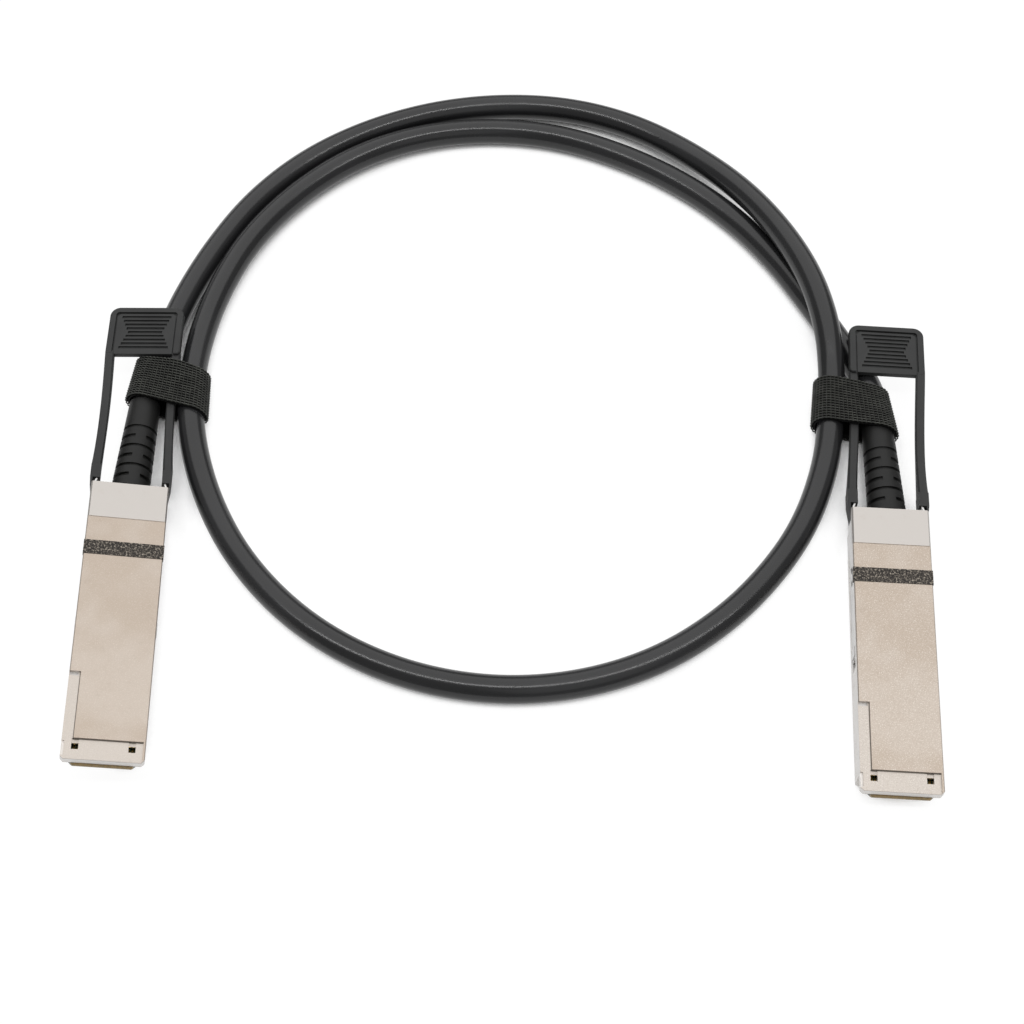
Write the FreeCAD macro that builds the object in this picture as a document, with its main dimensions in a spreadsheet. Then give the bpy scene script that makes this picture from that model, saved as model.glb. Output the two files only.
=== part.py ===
import FreeCAD, Part
import math
import os
import Sketcher
from FreeCAD import Placement, Rotation, Vector

# A direct attach copper cable: two identical pluggable connectors joined by one round
# shielded cable, wound one and a half turns and held by two woven hook-and-loop ties.
# Millimetres, +Z up, Z = 0 is the surface that it lies on, and the plugs point to -Y.
# A plug is modelled in its own frame: X across, Y from the nose to the rear, Z up from
# the flat underside. The plug's placement then sets it down where it lies.

SIZES = {
    # die-cast plug body
    "plug_length": 72.4, "plug_width": 18.35, "plug_height": 8.5,
    "split_height": 4.7, "split_gap": 0.02, "roof_wall": 1.3, "cheek_wall": 1.6,
    "floor_wall": 1.0, "card_bay_length": 24.5, "rear_block": 15.4, "lower_setback": 4.4,
    "edge_break": 0.35, "nose_corner": 0.7,
    # nose ledge, polarising strip, side slot and the two square windows
    "ledge_depth": 0.6, "ledge_length": 4.9, "strip_width": 2.55, "strip_length": 21.3,
    "rim_width": 0.6, "strip_gap": 0.9, "window_size": 1.55, "window_offset": 6.2,
    "window_back": 3.1, "window_lead": 0.25, "canopy_gap": 0.2, "corner_slot_depth": 0.3,
    "corner_slot_inset": 0.6, "strip_slot_rim": 0.1, "strip_slot_shoulder": 0.4,
    # smooth rear zone and the sealing strips' grooves
    "zone_length": 9.8, "zone_step": 0.12, "gasket_back": 20.2, "gasket_width": 3.8,
    "gasket_thick": 0.5, "gasket_proud": 0.12, "gasket_leg": 1.2, "lower_gasket_inset": 1.0,
    # release slider and the channels that it runs in
    "channel_depth": 0.6, "channel_low": 1.9, "channel_high": 7.0, "sheet_thick": 0.4,
    "run_clear": 0.1, "slider_start": 33.5, "tip_pocket": 2.6, "tip_pocket_depth": 1.1,
    "tip_inset": 0.6, "slider_tail": 5.4, "tail_low": 3.4, "tail_high": 6.6,
    "tail_inset": 0.8, "tail_bend": 2.0,
    "bridge_back": 10.1, "bridge_width": 6.3, "latch_bump": 0.25, "bump_setback": 0.5,
    "bump_length": 2.5, "bump_inset": 1.0, "arm_slot": 1.5, "arm_slot_first": 0.6,
    "arm_slot_second": 4.0, "arm_slot_drop": 3.0,
    "ear_back": 12.1, "pocket_inner": 6.3, "pocket_back": 3.4, "pocket_low": 2.9,
    "pocket_high": 5.4, "spring_radius": 0.85, "spring_wire": 0.14, "spring_turns": 7,
    "spring_clear": 0.05,
    # circuit card, contacts, memory chip and the comb behind them
    "card_width": 16.4, "card_thick": 1.0, "card_proud": 0.4, "card_length": 24.3,
    "card_corner": 1.8, "card_bevel": 0.3, "card_rail": 0.9, "pad_pitch": 0.8,
    "pad_width": 0.54, "pad_length": 4.2, "pad_thick": 0.05, "pad_setback": 0.7,
    "pads_per_face": 19, "chip_width": 4.0, "chip_length": 3.0, "chip_height": 0.8,
    "chip_start": 11.0, "comb_width": 12.4, "comb_length": 2.4,
    # cable and what joins it to the plug
    "cable_diameter": 6.7, "pair_width": 1.3, "pairs_per_face": 4, "pair_spacing": 2.7,
    "bundle_spacing": 1.31, "pair_gap": 0.06, "pair_lap": 3.0, "pair_straight": 6.5,
    "pair_gather": 2.0, "braid_cover": 0.37, "braid_thick": 0.22,
    "ferrule_inset": 0.05, "ferrule_wall": 0.3, "ferrule_length": 9.0,
    "ferrule_proud": 1.2, "bore_clear": 0.1,
    # moulded strain relief
    "boot_length": 25.5, "boot_gap": 0.35, "boot_width": 9.3, "boot_height": 8.4,
    "boot_mouth": 7.6, "slot_pitch": 5.6, "slot_web": 0.1,
    "ring_first": 5.7, "ring_width": 0.8, "slot_first": 2.8, "slot_width": 1.0,
    "slot_start": 25.0, "slot_sweep": 143.0, "slots_per_row": 3,
    # screws through the lower shell
    "screw_radius": 0.8, "screw_head": 1.25, "screw_head_depth": 0.7, "screw_length": 6.2,
    "front_screw_x": 6.2, "front_screw_y": 28.2, "rear_screw_x": 5.0, "rear_screw_back": 13.4,
    "boss_radius": 1.35, "drive_depth": 0.45, "hole_spare": 0.3,
    # pull tab
    "tab_width": 18.7, "grip_length": 14.4, "grip_thick": 2.0,
    "grip_corner": 2.6, "rim_border": 1.6, "grip_sink": 0.3, "moat_width": 0.4,
    "moat_depth": 0.35, "rib_groove": 0.75, "rib_depth": 0.45, "rib_count": 9,
    "rib_pitch": 1.17, "rib_shift": 0.5, "rib_long": 12.4, "rib_short": 8.6,
    "arm_width": 2.2, "arm_thick": 1.8, "arm_drop": 0.7, "arm_waist": 0.4, "arm_ease": 0.35,
    "arm_root": 0.3, "arm_lap": 0.9, "foot_width": 2.4, "foot_height": 3.9,
    "foot_reach": 0.525, "foot_cover": 0.6, "wedge_length": 2.2, "wedge_root": 0.4,
    "tab_gap": 2.2, "mould_gap": 0.02,
    # woven ties
    "tie_width": 11.8, "tie_thick": 0.75, "tie_clear": 0.4,
    # where each plug lies: rear end's underside, heading from straight back, own roll,
    # and pitch, which is how far its nose is raised
    "left_rear_x": -94.0, "left_rear_y": 12.5, "left_heading": -1.1, "left_roll": 12.0,
    "left_pitch": 1.8, "left_boot_turn": 3.4, "left_boot_rise": 1.8,
    "right_rear_x": 89.3, "right_rear_y": 6.0, "right_heading": 3.8, "right_roll": 0.0,
    "right_pitch": 0.0, "right_boot_turn": -3.8, "right_boot_rise": 1.9,
    # where each grip rests: centre and heading
    "left_grip_x": -93.1, "left_grip_y": 58.3, "left_grip_top": 10.4,
    "left_grip_heading": 0.6, "right_grip_x": 93.1, "right_grip_y": 51.7,
    "right_grip_top": 9.8, "right_grip_heading": 4.4,
    # each tie: centre of its two ends, heading of the strands in it, slant of its edges
    "left_tie_x": -86.4, "left_tie_y": 43.1, "left_tie_z": 5.5, "left_tie_span": 11.4,
    "left_tie_heading": 1.5, "left_tie_slant": -11.0, "left_tie_tilt": 0.0,
    "right_tie_x": 83.8, "right_tie_y": 36.1, "right_tie_z": 5.2, "right_tie_span": 11.0,
    "right_tie_heading": 1.0, "right_tie_slant": -10.0, "right_tie_tilt": 2.0,
}

# The free cable's route between the two strain reliefs: points laid by hand round the
# loop, X, Y and the height of the cable's middle. It leaves the left plug, runs over the
# far side, down through the right tie, round the near side, up through the left tie,
# over the far side again and under itself to the right plug.
ROUTE = [
    (-91.0, 50.0, 5.2), (-88.9, 59.5, 4.2), (-85.3, 74.0, 3.4), (-78.5, 90.1, 3.4),
    (-69.3, 106.0, 3.4), (-56.5, 119.8, 3.4), (-41.0, 130.0, 3.4), (-23.3, 136.9, 3.4),
    (-4.5, 139.8, 3.4), (14.6, 138.6, 3.4), (32.3, 132.4, 3.6), (47.3, 121.4, 4.7),
    (60.5, 106.5, 7.2), (69.6, 90.2, 9.8), (75.9, 74.0, 11.0), (79.0, 58.0, 10.2),
    (79.4, 45.8, 6.1), (78.1, 33.0, 5.2), (75.8, 20.3, 3.7), (69.8, 4.8, 3.4),
    (60.8, -8.7, 3.4), (49.1, -20.9, 3.4), (34.2, -31.1, 3.4), (17.0, -37.3, 3.4),
    (-1.5, -39.3, 3.4), (-20.2, -36.7, 3.4), (-37.4, -29.9, 3.4), (-52.5, -19.5, 3.4),
    (-65.3, -5.2, 3.4), (-74.2, 11.0, 3.4), (-79.5, 27.4, 4.6), (-81.3, 42.5, 5.3),
    (-80.5, 58.3, 4.6), (-76.8, 75.0, 4.5), (-69.8, 92.0, 4.6), (-58.2, 107.5, 4.6),
    (-43.7, 120.0, 4.5), (-26.6, 128.0, 4.0), (-8.0, 130.9, 3.5), (11.0, 128.9, 3.4),
    (28.8, 121.9, 3.4), (45.0, 111.8, 3.4), (58.5, 99.4, 3.4), (68.9, 85.3, 3.4),
    (76.2, 71.7, 3.4), (81.6, 60.8, 3.4), (86.1, 51.4, 3.5), (88.5, 44.0, 4.6),
]
EXIT_LENGTH = 5.8
ARC_SHARE = 0.45
LOFT_STEPS = 12


def new_sheet(doc):
    """Put every driving size in the document's spreadsheet, one alias a row."""
    sheet = doc.addObject("Spreadsheet::Sheet", "Sizes")
    for row, (name, value) in enumerate(SIZES.items(), start=1):
        sheet.set("A%d" % row, name)
        sheet.set("B%d" % row, str(value))
        sheet.setAlias("B%d" % row, name)
    doc.recompute()
    return sheet


class Shop:
    """Makes bound objects in one document and collects the finished pieces."""

    def __init__(self, doc, sheet):
        self.doc = doc
        self.sheet = sheet
        self.pieces = []

    def size(self, name):
        return float(getattr(self.sheet, name))

    def expression(self, text):
        """The text with its bare sheet aliases written out in full."""
        words = text.replace("(", " ( ").replace(")", " ) ").split()
        return " ".join("Sizes." + word if word in SIZES else word for word in words)

    def bind(self, obj, prop, text):
        obj.setExpression(prop, self.expression(text))

    def value(self, text):
        """The number that an expression gives now."""
        return float(self.sheet.evalExpression(self.expression(text)))

    def box(self, name, x, y, z):
        """A box from bound low and high ends along each axis."""
        obj = self.doc.addObject("Part::Box", name)
        for prop, base, (low, high) in zip(("Length", "Width", "Height"), "xyz", (x, y, z)):
            self.bind(obj, prop, "( %s ) - ( %s )" % (high, low))
            self.bind(obj, "Placement.Base." + base, low)
        return obj

    def rod(self, name, radius, x, y, z, along):
        """A cylinder; the axis named in along takes a (low, high) pair."""
        obj = self.doc.addObject("Part::Cylinder", name)
        ends = {"x": x, "y": y, "z": z}
        low, high = ends[along]
        ends[along] = low
        turn = {"x": (Vector(0, 1, 0), 90), "y": (Vector(1, 0, 0), -90), "z": (Vector(0, 0, 1), 0)}
        obj.Placement = Placement(Vector(), Rotation(*turn[along]))
        self.bind(obj, "Radius", radius)
        self.bind(obj, "Height", "( %s ) - ( %s )" % (high, low))
        for base, value in ends.items():
            self.bind(obj, "Placement.Base." + base, value)
        return obj

    def fuse(self, name, parts):
        obj = self.doc.addObject("Part::MultiFuse", name)
        obj.Shapes = parts
        return obj

    def cut(self, name, base, tools):
        obj = self.doc.addObject("Part::Cut", name)
        obj.Base = base
        obj.Tool = self.fuse(name + "_tools", tools) if len(tools) > 1 else tools[0]
        return obj

    def group(self, name, parts):
        obj = self.doc.addObject("Part::Compound", name)
        obj.Links = parts
        return obj

    def break_edges(self, name, base, chosen, width="edge_break"):
        """Chamfer the base's chosen edges by a width from the sheet."""
        self.doc.recompute()
        depth = self.size(width)
        edges = [(i, depth, depth) for i, e in enumerate(base.Shape.Edges, 1) if chosen(e)]
        obj = self.doc.addObject("Part::Chamfer", name)
        obj.Base = base
        obj.Edges = edges
        return obj

    def plain(self, name, shape):
        """A Part::Feature for a shape that no primitive or sketch gives."""
        obj = self.doc.addObject("Part::Feature", name)
        obj.Shape = shape
        return obj

    def finish(self, obj, label, placement):
        """Name a finished piece and set it down in its place.

        A bound primitive keeps its own place, so it goes into a group that is set down.
        """
        if obj.TypeId in ("Part::Box", "Part::Cylinder"):
            obj = self.group(obj.Name + "_whole", [obj])
        obj.Label = label
        obj.Placement = placement
        self.pieces.append(obj)
        return obj


# Places along a plug that are measured from its rear, as sheet expressions.
GASKET = "plug_length - gasket_back"
BRIDGE = "plug_length - bridge_back"
EAR = "plug_length - ear_back"
POCKET_END = "plug_length - pocket_back"
SCREW_PLACES = {"front": "front_screw_y", "rear": "plug_length - rear_screw_back"}
SIDES_OF_PLUG = (("port", -1), ("starboard", 1))
INNER_HAND = {"left": 1, "right": -1}


def plug_placement(shop, side):
    """Where a plug lies: on its lower edge if rolled, its rear end where the sheet says."""
    roll, pitch = shop.size(side + "_roll"), shop.size(side + "_pitch")
    level = math.cos(math.radians(pitch))
    lift = shop.size("plug_width") / 2 * abs(math.sin(math.radians(roll))) * level
    heading = Rotation(Vector(0, 0, 1), -shop.size(side + "_heading"))
    turn = heading.multiply(Rotation(Vector(1, 0, 0), -pitch))
    rear = Vector(shop.size(side + "_rear_x"), shop.size(side + "_rear_y"), lift)
    nose = rear - turn.multVec(Vector(0, shop.size("plug_length"), 0))
    return Placement(nose, turn.multiply(Rotation(Vector(0, 1, 0), roll)))


def boot_placement(shop, side):
    """The strain relief's frame: its foot's middle on the plug's rear face, +Y outward."""
    foot = Vector(0, shop.value("plug_length + boot_gap"), shop.size("plug_height") / 2)
    turn = Rotation(Vector(0, 0, 1), -shop.size(side + "_boot_turn"))
    rise = Rotation(Vector(1, 0, 0), shop.size(side + "_boot_rise"))
    return plug_placement(shop, side).multiply(Placement(foot, turn.multiply(rise)))


def is_long_edge(edge, height):
    """True for a straight edge that runs along the plug at the given height."""
    box = edge.BoundBox
    return box.XLength < 1e-6 and box.ZLength < 1e-6 and abs(box.ZMin - height) < 1e-6


def is_nose_corner(edge):
    """True for an upright edge at the nose."""
    box = edge.BoundBox
    return box.XLength < 0.5 and box.YMin < 1e-6 and box.YLength < 1e-6 and box.ZLength > 1


def mirrored(sign, inner, outer):
    """A bound (low, high) pair across the plug, on its port (-1) or starboard (1) side."""
    return (inner, outer) if sign > 0 else ("- ( %s )" % outer, "- ( %s )" % inner)


def mirrored_span(reach):
    """A bound (low, high) pair that reaches equally far to both sides."""
    return "- ( %s )" % reach, reach


def shell_channels(shop, tag):
    """The tools that open a shell for the slider, its springs and the ferrule."""
    half = "plug_width / 2"
    outside = half + " + 1"
    floor = half + " - channel_depth"
    tip_floor = half + " - tip_pocket_depth"
    bridge = (BRIDGE + " - run_clear", "plug_length + 1")
    tools = []
    for hand, sign in SIDES_OF_PLUG:
        tools.append(shop.box(tag + hand + "_channel", mirrored(sign, floor, outside),
                              ("slider_start - run_clear", "plug_length + 1"),
                              ("channel_low", "channel_high")))
        tools.append(shop.box(tag + hand + "_tip_pocket", mirrored(sign, tip_floor, outside),
                              ("slider_start - tip_pocket", "slider_start + 1"),
                              ("channel_low + tip_inset", "channel_high - tip_inset")))
        tools.append(shop.box(tag + hand + "_web_channel", mirrored(sign, floor, outside), bridge,
                              ("- 1", "channel_high")))
        tools.append(shop.box(tag + hand + "_pocket", mirrored(sign, "pocket_inner", outside),
                              (EAR + " - run_clear", POCKET_END), ("pocket_low", "pocket_high")))
    tools.append(shop.box(tag + "bridge_channel", mirrored_span(outside), bridge,
                          ("- 1", "sheet_thick + 2 * run_clear")))
    tools.append(shop.rod(tag + "ferrule_bore", "cable_diameter / 2 - ferrule_inset + bore_clear", "0",
                          ("plug_length - rear_block - 1", "plug_length + 1"), "plug_height / 2", "y"))
    return tools


def upper_shell(shop, side, placement):
    """The die-cast upper half, with the nose canopy, ledge and rear zone."""
    tag = side + "_upper_"
    half = "plug_width / 2"
    top = "plug_height"
    across = ("- " + half + " - 1", half + " + 1")
    ledge = (top + " - ledge_depth", top + " + 1")
    block = shop.box(tag + "block", ("- " + half, half), ("0", "plug_length"), ("split_height", top))
    eased = shop.break_edges(tag + "eased", block, lambda e: is_long_edge(e, shop.size("plug_height")))
    body = shop.break_edges(tag + "cornered", eased, is_nose_corner, "nose_corner")
    tools = [
        shop.box(tag + "under_canopy", across, ("- 1", "lower_setback"),
                 ("split_height - 1", "split_height + card_thick + canopy_gap")),
        shop.box(tag + "card_bay", ("- card_width / 2 - bore_clear", "card_width / 2 + bore_clear"),
                 ("lower_setback - 1", "card_bay_length"), ("split_height - 1", top + " - roof_wall")),
        shop.box(tag + "wire_bay", ("- " + half + " + cheek_wall", half + " - cheek_wall"),
                 ("card_bay_length - 1", "plug_length - rear_block"),
                 ("split_height - 1", top + " - roof_wall")),
        shop.box(tag + "ledge", ("- " + half + " + strip_width", half + " - rim_width"),
                 ("- 1", "ledge_length"), ledge),
        shop.box(tag + "strip", ("- " + half + " - 1", "- " + half + " + strip_width + 0.01"),
                 ("- 1", "strip_length"), ledge),
        shop.box(tag + "strip_slot",
                 ("- " + half + " + strip_slot_rim", "- " + half + " + strip_width - strip_slot_shoulder"),
                 ("strip_length - strip_gap", "strip_length + 0.01"),
                 (top + " - roof_wall + bore_clear", top)),
        shop.box(tag + "corner_slot", ("- " + half + " - 1", "- " + half + " + rim_width"),
                 ("nose_corner + bore_clear", "ledge_length - corner_slot_inset"),
                 (top + " - ledge_depth - corner_slot_depth", top)),
        shop.box(tag + "field", across, ("- 1", "plug_length - zone_length"),
                 (top + " - zone_step", top + " + 1")),
        shop.box(tag + "gasket_groove", across, (GASKET, GASKET + " + gasket_width"),
                 (top + " - zone_step - gasket_thick + gasket_proud", top + " + 1")),
    ]
    for hand, sign in SIDES_OF_PLUG:
        window = mirrored(sign, "window_offset - window_size / 2", "window_offset + window_size / 2")
        tools.append(shop.box(tag + hand + "_window", window,
                              ("window_back - window_size / 2", "window_back + window_size / 2"),
                              ("split_height + card_thick + canopy_gap - 1", top + " + 1")))
        tools.append(shop.box(tag + hand + "_window_lead", window, ("window_back", "ledge_length"),
                              (top + " - ledge_depth - window_lead", top + " - ledge_depth + 0.1")))
        tools.append(shop.box(tag + hand + "_leg_groove",
                              mirrored(sign, half + " - gasket_thick + gasket_proud", half + " + 1"),
                              (GASKET, GASKET + " + gasket_width"),
                              (top + " - zone_step - gasket_leg", top + " + 1")))
    tools += shell_channels(shop, tag)
    hollow = shop.cut(tag + "hollow", body, tools)
    bosses = screw_rods(shop, tag, "boss", "boss_radius", ("front",),
                        ("split_height", top + " - roof_wall + 0.1"))
    bossed = shop.fuse(tag + "bossed", [hollow] + bosses)
    drilled = shop.cut(tag + "drilled", bossed,
                       screw_rods(shop, tag, "hole", "screw_radius", ("front", "rear"),
                                  ("- 1", "screw_length + hole_spare")))
    shop.finish(drilled, side + "_upper_shell", placement)


def screw_rods(shop, tag, kind, radius, rows, heights):
    """Upright rods at the screws' places: holes, seats, bosses or the screws' own parts."""
    rods = []
    for row in rows:
        for hand, sign in SIDES_OF_PLUG:
            x = row + "_screw_x" if sign > 0 else "- " + row + "_screw_x"
            rods.append(shop.rod("%s%s_%s_%s" % (tag, row, hand, kind), radius, x,
                                 SCREW_PLACES[row], heights, "z"))
    return rods


def lower_shell(shop, side, placement):
    """The die-cast lower tray, set back under the nose."""
    tag = side + "_lower_"
    half = "plug_width / 2"
    top = "split_height - split_gap"
    block = shop.box(tag + "block", ("- " + half, half), ("lower_setback", "plug_length"), ("0", top))
    body = shop.break_edges(tag + "eased", block, lambda e: is_long_edge(e, 0.0))
    tools = [
        shop.box(tag + "card_bay", ("- card_width / 2 + card_rail", "card_width / 2 - card_rail"),
                 ("lower_setback - 1", "card_bay_length"), ("floor_wall", top + " + 1")),
        shop.box(tag + "wire_bay", ("- " + half + " + cheek_wall", half + " - cheek_wall"),
                 ("card_bay_length - 0.2", "plug_length - rear_block"), ("floor_wall", top + " + 1")),
        shop.box(tag + "gasket_groove", mirrored_span(half + " - lower_gasket_inset + bore_clear"),
                 (GASKET, GASKET + " + gasket_width"), ("- 1", "gasket_thick")),
    ]
    tools += shell_channels(shop, tag)
    hollow = shop.cut(tag + "hollow", body, tools)
    bosses = screw_rods(shop, tag, "boss", "boss_radius", ("front",), ("floor_wall - 0.1", top))
    bossed = shop.fuse(tag + "bossed", [hollow] + bosses)
    holes = screw_rods(shop, tag, "hole", "screw_radius + bore_clear", ("front", "rear"),
                       ("- 1", top + " + 1"))
    seats = screw_rods(shop, tag, "seat", "screw_head + bore_clear", ("front", "rear"),
                       ("- 1", "screw_head_depth"))
    shop.finish(shop.cut(tag + "drilled", bossed, holes + seats), side + "_lower_shell", placement)


def shell_screws(shop, side, placement):
    """Four pan-headed screws that hold the shells together, kept as one group."""
    tag = side + "_screw_"
    rows = ("front", "rear")
    heads = screw_rods(shop, tag, "head", "screw_head", rows, ("run_clear", "screw_head_depth"))
    shanks = screw_rods(shop, tag, "shank", "screw_radius - mould_gap", rows,
                        ("screw_head_depth / 2", "screw_length"))
    drives = screw_rods(shop, tag, "drive", "screw_head / 2", rows, ("- 1", "drive_depth"))
    screws = []
    for number, (head, shank, drive) in enumerate(zip(heads, shanks, drives), start=1):
        solid = shop.fuse("%ssolid_%d" % (tag, number), [head, shank])
        screws.append(shop.cut("%s%d" % (tag, number), solid, [drive]))
    shop.finish(shop.group(side + "_screw_group", screws), side + "_shell_screws", placement)


def gaskets(shop, side, placement):
    """The dark sealing strips, one over each shell, with legs down the cheeks."""
    half = "plug_width / 2"
    along = (GASKET + " + mould_gap", GASKET + " + gasket_width - mould_gap")
    top = "plug_height - zone_step"
    outer = half + " + gasket_proud"
    tag = side + "_upper_gasket_"
    over = shop.box(tag + "over", mirrored_span(outer), along,
                    (top + " - gasket_leg + mould_gap", top + " + gasket_proud"))
    inner = half + " - gasket_thick + gasket_proud"
    under = shop.box(tag + "under", mirrored_span(inner), ("0", "plug_length"),
                     ("0", top + " - gasket_thick + gasket_proud"))
    shop.finish(shop.cut(tag + "strip", over, [under]), side + "_upper_gasket", placement)
    strip = shop.box(side + "_lower_gasket_strip", mirrored_span(half + " - lower_gasket_inset"), along,
                     ("mould_gap", "gasket_thick"))
    shop.finish(strip, side + "_lower_gasket", placement)


def pinned_sketch(shop, body, name, plane, corners):
    """A closed straight-sided sketch on a body's plane, each corner tied to the sheet."""
    sketch = body.newObject("Sketcher::SketchObject", name)
    origin = next(f for f in body.Origin.OriginFeatures if f.Role == plane)
    sketch.AttachmentSupport = [(origin, "")]
    sketch.MapMode = "FlatFace"
    points = [Vector(shop.value(x), shop.value(y), 0) for x, y in corners]
    for here, there in zip(points, points[1:] + points[:1]):
        sketch.addGeometry(Part.LineSegment(here, there))
    for i, (point, (x_text, y_text)) in enumerate(zip(points, corners)):
        sketch.addConstraint(Sketcher.Constraint("Coincident", i, 2, (i + 1) % len(points), 1))
        for kind, value, text, axis in (("DistanceX", point.x, x_text, -2),
                                        ("DistanceY", point.y, y_text, -1)):
            if abs(value) < 1e-9:
                sketch.addConstraint(Sketcher.Constraint("PointOnObject", i, 1, axis))
                continue
            index = sketch.addConstraint(Sketcher.Constraint(kind, -1, 1, i, 1, value))
            shop.bind(sketch, "Constraints[%d]" % index, text)
    return sketch


def edges_where(shape, chosen):
    """Names of a shape's edges that the test picks."""
    return ["Edge%d" % i for i, edge in enumerate(shape.Edges, 1) if chosen(edge.BoundBox)]


def card_body(shop, side, placement):
    """The circuit card: one padded outline with clipped front corners and a bevel."""
    body = shop.doc.addObject("PartDesign::Body", side + "_card_body")
    half, rear = "card_width / 2", "card_length - card_proud"
    outline = pinned_sketch(shop, body, side + "_card_outline", "XY_Plane", [
        ("- " + half + " + card_corner", "- card_proud"), (half + " - card_corner", "- card_proud"),
        (half, "card_corner - card_proud"), (half, rear), ("- " + half, rear),
        ("- " + half, "card_corner - card_proud")])
    pad = body.newObject("PartDesign::Pad", side + "_card_pad")
    pad.Profile = outline
    shop.bind(pad, "Length", "card_thick")
    shop.doc.recompute()
    front = -shop.size("card_proud")
    bevel = body.newObject("PartDesign::Chamfer", side + "_card_bevel_cut")
    bevel.Base = (pad, edges_where(pad.Shape, lambda b: abs(b.YMax - front) < 1e-6 and b.XLength > 1))
    shop.bind(bevel, "Size", "card_bevel")
    body.Tip = bevel
    lift = Placement(Vector(0, 0, shop.size("split_height")), Rotation())
    shop.finish(body, side + "_paddle_card", placement.multiply(lift))


def contact_pads(shop, side, placement):
    """Gold pads on both faces of the card's front edge, as one group."""
    pads = []
    count = int(shop.size("pads_per_face"))
    middle = (count - 1) / 2
    for face, z in (("top", ("split_height + card_thick", "split_height + card_thick + pad_thick")),
                    ("bottom", ("split_height - pad_thick", "split_height"))):
        for i in range(count):
            x = "%g * pad_pitch" % (i - middle)
            at_end = abs(i - middle) > middle - 2
            setback = "pad_setback" if at_end else "run_clear"
            start = "card_bevel - card_proud + " + setback
            pads.append(shop.box("%s_%s_pad_%02d" % (side, face, i + 1),
                                 (x + " - pad_width / 2", x + " + pad_width / 2"),
                                 (start, start + " + pad_length"), z))
    shop.finish(shop.group(side + "_pad_group", pads), side + "_contact_pads", placement)


def memory_chip(shop, side, placement):
    """The small identification memory on the card's upper face."""
    top = "split_height + card_thick"
    chip = shop.box(side + "_chip", ("- chip_width / 2", "chip_width / 2"),
                    ("chip_start", "chip_start + chip_length"), (top, top + " + chip_height"))
    shop.finish(chip, side + "_memory_chip", placement)


def rounded_path(points):
    """Straight runs joined by tangent arcs, each as large as its two runs allow."""
    edges, radii = [], []
    start = points[0]
    for before, here, after in zip(points, points[1:], points[2:]):
        back, ahead = before - here, after - here
        cut = ARC_SHARE * min(back.Length, ahead.Length)
        half_turn = (math.pi - back.getAngle(ahead)) / 2
        radius = cut / math.tan(half_turn)
        enter = here + back.normalize() * cut
        leave = here + ahead.normalize() * cut
        inward = (back + ahead).normalize()
        middle = here + inward * (radius / math.cos(half_turn) - radius)
        edges.append(Part.LineSegment(start, enter).toShape())
        edges.append(Part.Arc(enter, middle, leave).toShape())
        radii.append(radius)
        start = leave
    edges.append(Part.LineSegment(start, points[-1]).toShape())
    return Part.Wire(edges), radii


def round_bar(path, start, toward, radius):
    """A round bar swept along a path of lines and arcs."""
    section = Part.Wire(Part.makeCircle(radius, start, toward - start))
    return path.makePipeShell([section], True, False)


def wire_pairs(shop, side, placement):
    """The shielded pairs from the card's pads to the cable's core."""
    radius = shop.size("pair_width") / 2
    count = int(shop.size("pairs_per_face"))
    card_end = shop.size("card_length") - shop.size("card_proud")
    block = shop.size("plug_length") - shop.size("rear_block")
    middle = shop.size("plug_height") / 2
    gap = shop.size("pair_gap")
    faces = {1: shop.size("split_height") + shop.size("card_thick") + radius + gap,
             -1: shop.size("split_height") - radius - gap}
    wires = []
    for face, height in faces.items():
        for i in range(count):
            place = i - (count - 1) / 2
            out = Vector(place * shop.size("pair_spacing"), card_end - shop.size("pair_lap"), height)
            near = Vector(out.x, card_end + shop.size("pair_straight"), height)
            core_x = place * shop.size("bundle_spacing")
            core_z = middle + face * (radius + gap / 2)
            gather = Vector(core_x, block - shop.size("pair_gather"), core_z)
            tail = Vector(core_x, shop.size("plug_length") + shop.size("ferrule_proud"), core_z)
            path = rounded_path([out, near, gather, tail])[0]
            wires.append(round_bar(path, out, near, radius))
    shape = Part.makeCompound(wires)
    shop.finish(shop.plain(side + "_pairs", shape), side + "_wire_pairs", placement)


def wire_comb(shop, side, placement):
    """The moulded comb that holds the pairs down at the end of the card."""
    start = "card_length - card_proud + bore_clear"
    block = shop.box(side + "_comb_block", ("- comb_width / 2", "comb_width / 2"),
                     (start, start + " + comb_length"), ("floor_wall", "plug_height - roof_wall"))
    count = int(shop.size("pairs_per_face"))
    holes = []
    for face, z in (("top", "split_height + card_thick + pair_width / 2 + pair_gap"),
                    ("bottom", "split_height - pair_width / 2 - pair_gap")):
        for i in range(count):
            x = "%g * pair_spacing" % (i - (count - 1) / 2)
            holes.append(shop.rod("%s_comb_%s_hole_%d" % (side, face, i + 1),
                                  "pair_width / 2 + pair_gap", x,
                                  (start + " - 1", start + " + comb_length + 1"), z, "y"))
    shop.finish(shop.cut(side + "_comb", block, holes), side + "_wire_comb", placement)


def round_sleeve(shop, name, radius, wall, ends):
    """A plain tube about the plug's rear bore."""
    middle = "plug_height / 2"
    sleeve = shop.rod(name + "_outer", radius, "0", ends, middle, "y")
    bore = shop.rod(name + "_bore", radius + " - " + wall, "0", (ends[0] + " - 1", ends[1] + " + 1"),
                    middle, "y")
    return shop.cut(name, sleeve, [bore])


def crimp_ferrule(shop, side, placement):
    """The crimped sleeve in the rear of the shells, and the cable's braid inside it."""
    ends = ("plug_length - ferrule_length + ferrule_proud", "plug_length + ferrule_proud")
    ferrule = round_sleeve(shop, side + "_ferrule", "cable_diameter / 2 - ferrule_inset",
                           "ferrule_wall", ends)
    shop.finish(ferrule, side + "_crimp_ferrule", placement)
    braid_ends = ("plug_length - ferrule_length", ends[1])
    braid = round_sleeve(shop, side + "_braid", "cable_diameter / 2 - braid_cover",
                         "braid_thick", braid_ends)
    shop.finish(braid, side + "_shield_braid", placement)


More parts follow.
